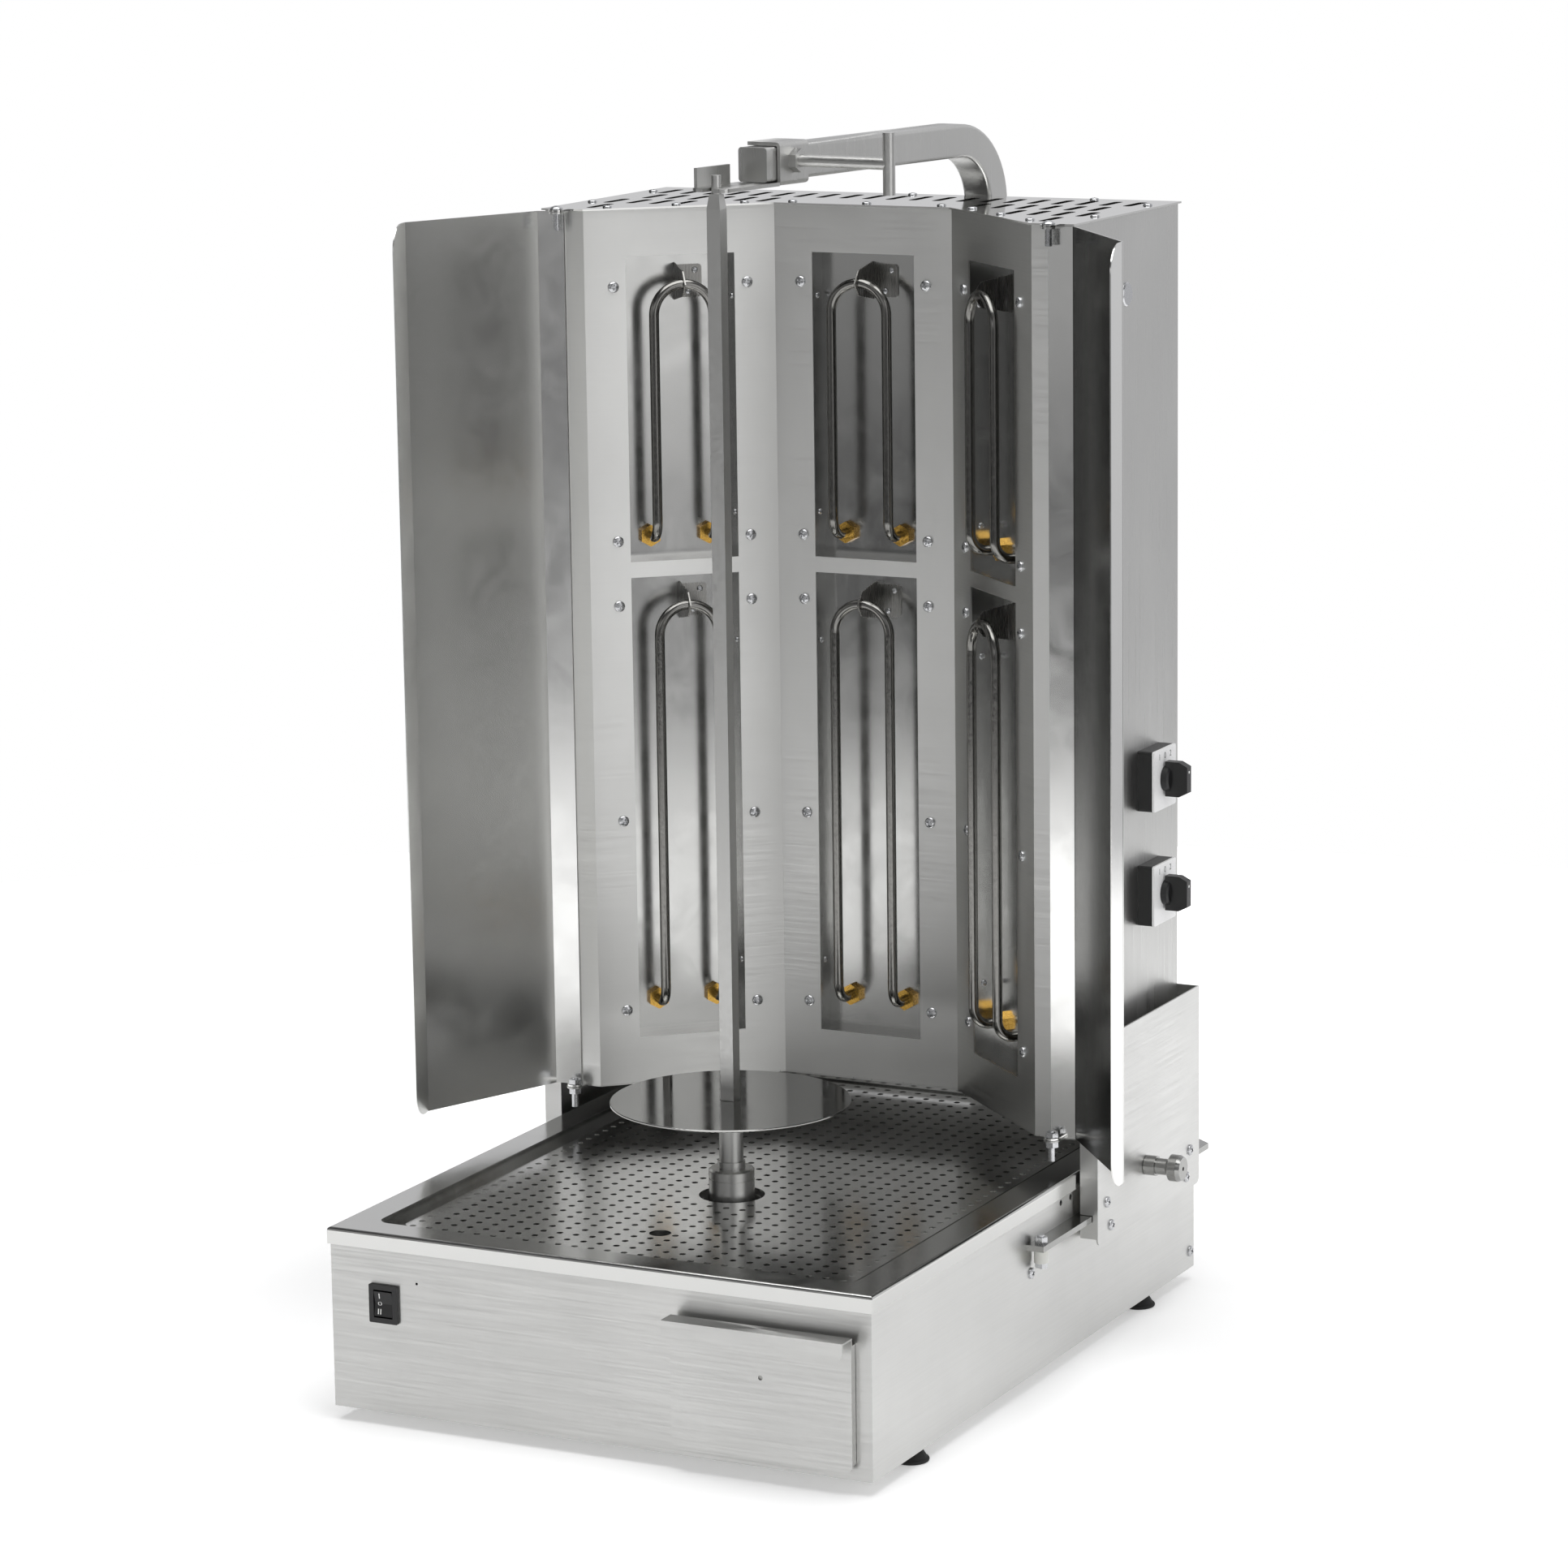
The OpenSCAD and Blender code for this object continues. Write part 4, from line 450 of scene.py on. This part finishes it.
# Reflectors: folded mirror sheet behind the windows, dulled by heat. Each box is held by four small
# screws, two through each of its side walls.
window_w, reflector_d, reflector_t = 0.096, 0.020, 0.0012
wall_screw_shares = (0.16, 0.84)
tiny_head_r, tiny_head_h, tiny_shank_r, tiny_shank_l = 0.0026, 0.0015, 0.0012, 0.003

reflector_sheet = polished_stainless("heat-dulled mirror sheet", "#C0C0BE", 0.16)
tiny_screw = cross_screw("tiny_screw", tiny_head_r, tiny_head_h, tiny_shank_r, tiny_shank_l)
wall_seats = []
for name in ("left_reflectors", "centre_reflectors", "right_reflectors"):
    dress(reflector_sheet, name)
    for points in islands(name):
        along, out = panel_axes(middle(points).x)
        back = min(p.dot(out) for p in points) + reflector_t
        centre = (max(p.dot(along) for p in points) + min(p.dot(along) for p in points)) / 2
        foot, top = min(p.z for p in points), max(p.z for p in points)
        for side in (-1, 1):
            for share in wall_screw_shares:
                seat = (along * (centre + side * window_w / 2) + out * (back + reflector_d / 2)
                        + Vector((0, 0, foot + share * (top - foot))))
                wall_seats.append((seat, -side * along))
seated(tiny_screw, "reflector_screws", wall_seats, "front_panel")

# Heating elements: steel-sheathed tubes bent into hairpins, browned by heat, each fixed to its
# reflector's back by two brass nuts.
sheath = turned_steel("oxidised heater sheath", "#7E7D7A", 0.15)
for side in ("left", "centre", "right"):
    dress(sheath, side + "_upper_element", side + "_lower_element")
brass = turned_steel("machined brass", "#E2B45A", 0.22)
dress(brass, "element_nuts")

# Element brackets: small angles of sheet tinted by heat, one at each arch, each held by two small
# screws through its plate.
bracket_t = 0.0012
bracket_holes = ((0.006, 0.009), (0.012, -0.009))

tempered_sheet = brushed_stainless("heat-tinted bracket sheet", (1.4, 1.4, 60), "#8C8B88", 0.26)
dress(tempered_sheet, "element_brackets")
bracket_seats = []
for points in islands("element_brackets"):
    heart = middle(points)
    along, out = panel_axes(heart.x)
    edge = max(p.dot(along) for p in points)
    front = min(p.dot(out) for p in points) + bracket_t
    for inset, rise in bracket_holes:
        bracket_seats.append((along * (edge - inset) + out * front + Vector((0, 0, heart.z + rise)), out))
seated(tiny_screw, "bracket_screws", bracket_seats, "element_brackets")
bpy.data.objects.remove(tiny_screw)

# Top cover: mirror-polished sheet with punched vent slots, screwed down through its rounded tabs
# with small pan-head screws.
small_head_r, small_head_h, small_shank_r = 0.004, 0.002, 0.00175

mirror_sheet = polished_stainless("mirror stainless", "#D8D8D6", 0.05)
dress(mirror_sheet, "top_cover")
small_screw = cross_screw("small_screw", small_head_r, small_head_h, small_shank_r, shank_l)
set_screws(small_screw, "cover_screws", lambda place: (0, 0, 1), small_head_h)
bpy.data.objects.remove(small_screw)

# Cam switches: black plastic bodies with silver-white face plates and black knobs, screwed to the
# right wall. The numbers on the plates and the dots on the knobs are pad-printed.
number_h, number_step, number_rise = 0.0075, 0.012, 0.0195
dot_r, dot_drop = 0.0012, 0.0085
facing_right = Matrix(((0, 0, 1, 0), (1, 0, 0, 0), (0, 1, 0, 0), (0, 0, 0, 1)))

dress(black_plastic, "switch_bodies", "upper_knob", "lower_knob")
plate_plastic = moulded("silver-white face plate", "#F0F0F0", 0.3, 0.8)
dress(plate_plastic, "switch_plates")
black_ink = ink("black ink", "#1B1B1C")
numbers = []
for points in islands("switch_plates"):
    heart = middle(points)
    face_x = max(p.x for p in points)
    for character, step in (("1", -1), ("0", 0), ("2", 1)):
        bpy.ops.object.text_add()
        words = bpy.context.object.data
        words.body = character
        words.size = number_h
        words.extrude = print_t / 2
        words.align_x = "CENTER"
        words.align_y = "CENTER"
        bpy.ops.object.convert(target="MESH")
        number = bpy.context.object
        place = (face_x, heart.y + step * number_step, heart.z + number_rise)
        number.data.transform(Matrix.Translation(place) @ facing_right)
        numbers.append(number)
joined(numbers, "switch_numbers", black_ink, "switch_plates")
for name in ("upper_knob", "lower_knob"):
    low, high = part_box(name)
    bpy.ops.mesh.primitive_cylinder_add(vertices=24, radius=dot_r, depth=print_t)
    dot = bpy.context.object
    place = (high[0], (low[1] + high[1]) / 2, high[2] - dot_drop)
    dot.data.transform(Matrix.Translation(place) @ facing_right)
    joined([dot], name + "_dot", white_ink, name)

# Wings: bright rolled sheet, folded into a strip, a leaf and a lip, each hung on two zinc-plated
# bolts. The inner face of the right leaf is darkened with painted shade that stands for its dark
# reflection.
# Distances from the leaf's plane where the painted shade is full and where it has faded out.
painted_shade_in, painted_shade_out = 0.0002, 0.0004


def painted_shade_leaf(material, wing, shade_tone):
    """Paints shade on the inner face of a wing's leaf, a dark colour standing for its reflection, on all
    that lies in that face's plane.
    """
    inner = [face for face in nodes[wing].data.polygons if face.normal.dot(face.center) < 0]
    leaf = max(inner, key=lambda face: face.area)
    tree = material.node_tree
    shader = next(node for node in tree.nodes if node.type == "BSDF_PRINCIPLED")
    unpainted_tone = tuple(shader.inputs["Base Color"].default_value)
    place = add(tree, "ShaderNodeTexCoord").outputs["Object"]
    reach = add(tree, "ShaderNodeVectorMath", {0: place, 1: tuple(leaf.normal)}, operation="DOT_PRODUCT")
    away = add(tree, "ShaderNodeMath", {
        0: reach.outputs["Value"], 1: leaf.normal.dot(leaf.center)}, operation="SUBTRACT")
    off = add(tree, "ShaderNodeMath", {0: away.outputs["Value"]}, operation="ABSOLUTE")
    tint = add(tree, "ShaderNodeMix", {
        "Factor": ranged(tree, off.outputs["Value"], (painted_shade_in, painted_shade_out), (1, 0)),
        "A": unpainted_tone, "B": linear(shade_tone)}, data_type="RGBA")
    tree.links.new(tint.outputs["Result"], shader.inputs["Base Color"])


wing_sheet = polished_stainless("bright rolled wing sheet", "#F0F0EE", 0.2)
dress(wing_sheet, "left_wing")
# The right wing's sheet gets painted shade on its inner leaf: #5E5E5C stands for the dark reflection there.
shade_painted_wing_sheet = polished_stainless("wing sheet with painted shade", "#F0F0EE", 0.16)
painted_shade_leaf(shade_painted_wing_sheet, "right_wing", "#5E5E5C")
dress(shade_painted_wing_sheet, "right_wing")
dress(screw_steel, "hinge_bolts")

# Arm and top bearing: a square tube bent over the heater, brushed along its length, with a sleeve
# that a clamp screw of bright steel holds.
dress(upright_brushed, "arm_foot", "arm_tube", "arm_end_cap", "bearing_sleeve")
dress(bar_steel, "clamp_screw")

# Studio: a white paper floor that ends a little beyond the grill. The camera sees it white, and the
# sheets mirror it dimmer, as they do a floor outside the lamps' light.
floor_r = 2.2
glow_near, glow_far, mirrored_share = 0.3, 1.0, 0.7

bpy.ops.mesh.primitive_circle_add(vertices=64, radius=floor_r, fill_type="NGON", location=(0, 0, 0))
floor = bpy.context.object
floor.name = "studio_floor"
floor_paint, floor_tree, floor_shader = finish("white studio paper")
floor_shader.inputs["Base Color"].default_value = linear("#F6F6F6")
floor_shader.inputs["Roughness"].default_value = 0.9
floor_shader.inputs["Emission Color"].default_value = linear("#FFFFFF")
floor_place = add(floor_tree, "ShaderNodeTexCoord").outputs["Object"]
away = add(floor_tree, "ShaderNodeVectorMath", {0: floor_place}, operation="LENGTH")
glow = ranged(floor_tree, away.outputs["Value"], (0.5, 1.5), (glow_near, glow_far))
seen = add(floor_tree, "ShaderNodeLightPath").outputs["Is Camera Ray"]
strength = add(floor_tree, "ShaderNodeMath", {
    0: glow, 1: ranged(floor_tree, seen, (0, 1), (mirrored_share, 1))}, operation="MULTIPLY")
floor_tree.links.new(strength.outputs["Value"], floor_shader.inputs["Emission Strength"])
floor.data.materials.append(floor_paint)

# Light: a large softbox on the right, dimmer ones on the left and in front, and one overhead, in a
# room that is dark on the left and bright at the back, so that each sheet mirrors what the real one does.


def softbox(name, place, target, size, watts):
    """A rectangular area light at a place, aimed at a point."""
    lamp = bpy.data.lights.new(name, "AREA")
    lamp.shape = "RECTANGLE"
    lamp.size, lamp.size_y = size
    lamp.energy = watts
    holder = bpy.data.objects.new(name, lamp)
    bpy.context.scene.collection.objects.link(holder)
    holder.location = place
    holder.rotation_euler = (Vector(target) - Vector(place)).to_track_quat("-Z", "Y").to_euler()


softbox("right softbox", (3.0, -1.3, 1.4), (0, 0.1, 0.55), (2.6, 2.4), 18)
softbox("left softbox", (-1.5, -2.7, 1.15), (0, 0.2, 0.5), (2.4, 1.6), 3.4)
softbox("front softbox", (0.45, -3.6, 1.5), (0, 0, 0.2), (2.2, 1.0), 4.0)
softbox("top softbox", (0.2, -0.3, 3.4), (0, 0.1, 0.4), (3.0, 3.0), 95)

world = bpy.data.worlds.new("studio")
world.use_nodes = True
bpy.context.scene.world = world
sky = world.node_tree
sky.nodes.clear()
aim = add(sky, "ShaderNodeSeparateXYZ", {"Vector": add(sky, "ShaderNodeTexCoord").outputs["Generated"]})
side = ranged(sky, aim.outputs["X"], (-0.8, 0.9), (0.02, 0.3))
back = ranged(sky, aim.outputs["Y"], (0.2, 0.8), (0.0, 0.45))
height = ranged(sky, aim.outputs["Z"], (-0.25, 0.1), (0.7, 1.45))
wall = add(sky, "ShaderNodeMath", {0: back, 1: height}, operation="MULTIPLY")
level = add(sky, "ShaderNodeMath", {0: side, 1: wall.outputs["Value"]}, operation="ADD")
room = add(sky, "ShaderNodeBackground", {"Color": linear("#F4F4F6"), "Strength": level.outputs["Value"]})
backdrop = add(sky, "ShaderNodeBackground", {"Color": linear("#FFFFFF"), "Strength": 1.0})
rays = add(sky, "ShaderNodeLightPath")
both = add(sky, "ShaderNodeMixShader", {
    "Fac": rays.outputs["Is Camera Ray"], 1: room.outputs["Background"], 2: backdrop.outputs["Background"]})
add(sky, "ShaderNodeOutputWorld", {"Surface": both.outputs["Shader"]})
bpy.context.scene.view_settings.view_transform = "Standard"

# Camera: solved from the photograph, in the grill's own frame. The lens is for the frame of 1932 pixels.
camera_place = Vector((1.95315, -3.79362, 1.33751))
yaw, pitch, roll = radians(26.600), radians(11.0735), radians(-0.772)
frame_px, focal_px, sensor_mm = 1932, 6549.5, 36.0
lens = bpy.data.cameras.new("camera")
lens.sensor_width = sensor_mm
lens.lens = focal_px / frame_px * sensor_mm
camera = bpy.data.objects.new("camera", lens)
bpy.context.scene.collection.objects.link(camera)
camera.matrix_world = (
    Matrix.Translation(camera_place) @ Matrix.Rotation(yaw, 4, "Z")
    @ Matrix.Rotation(radians(90) - pitch, 4, "X") @ Matrix.Rotation(roll, 4, "Z"))
bpy.context.scene.camera = camera
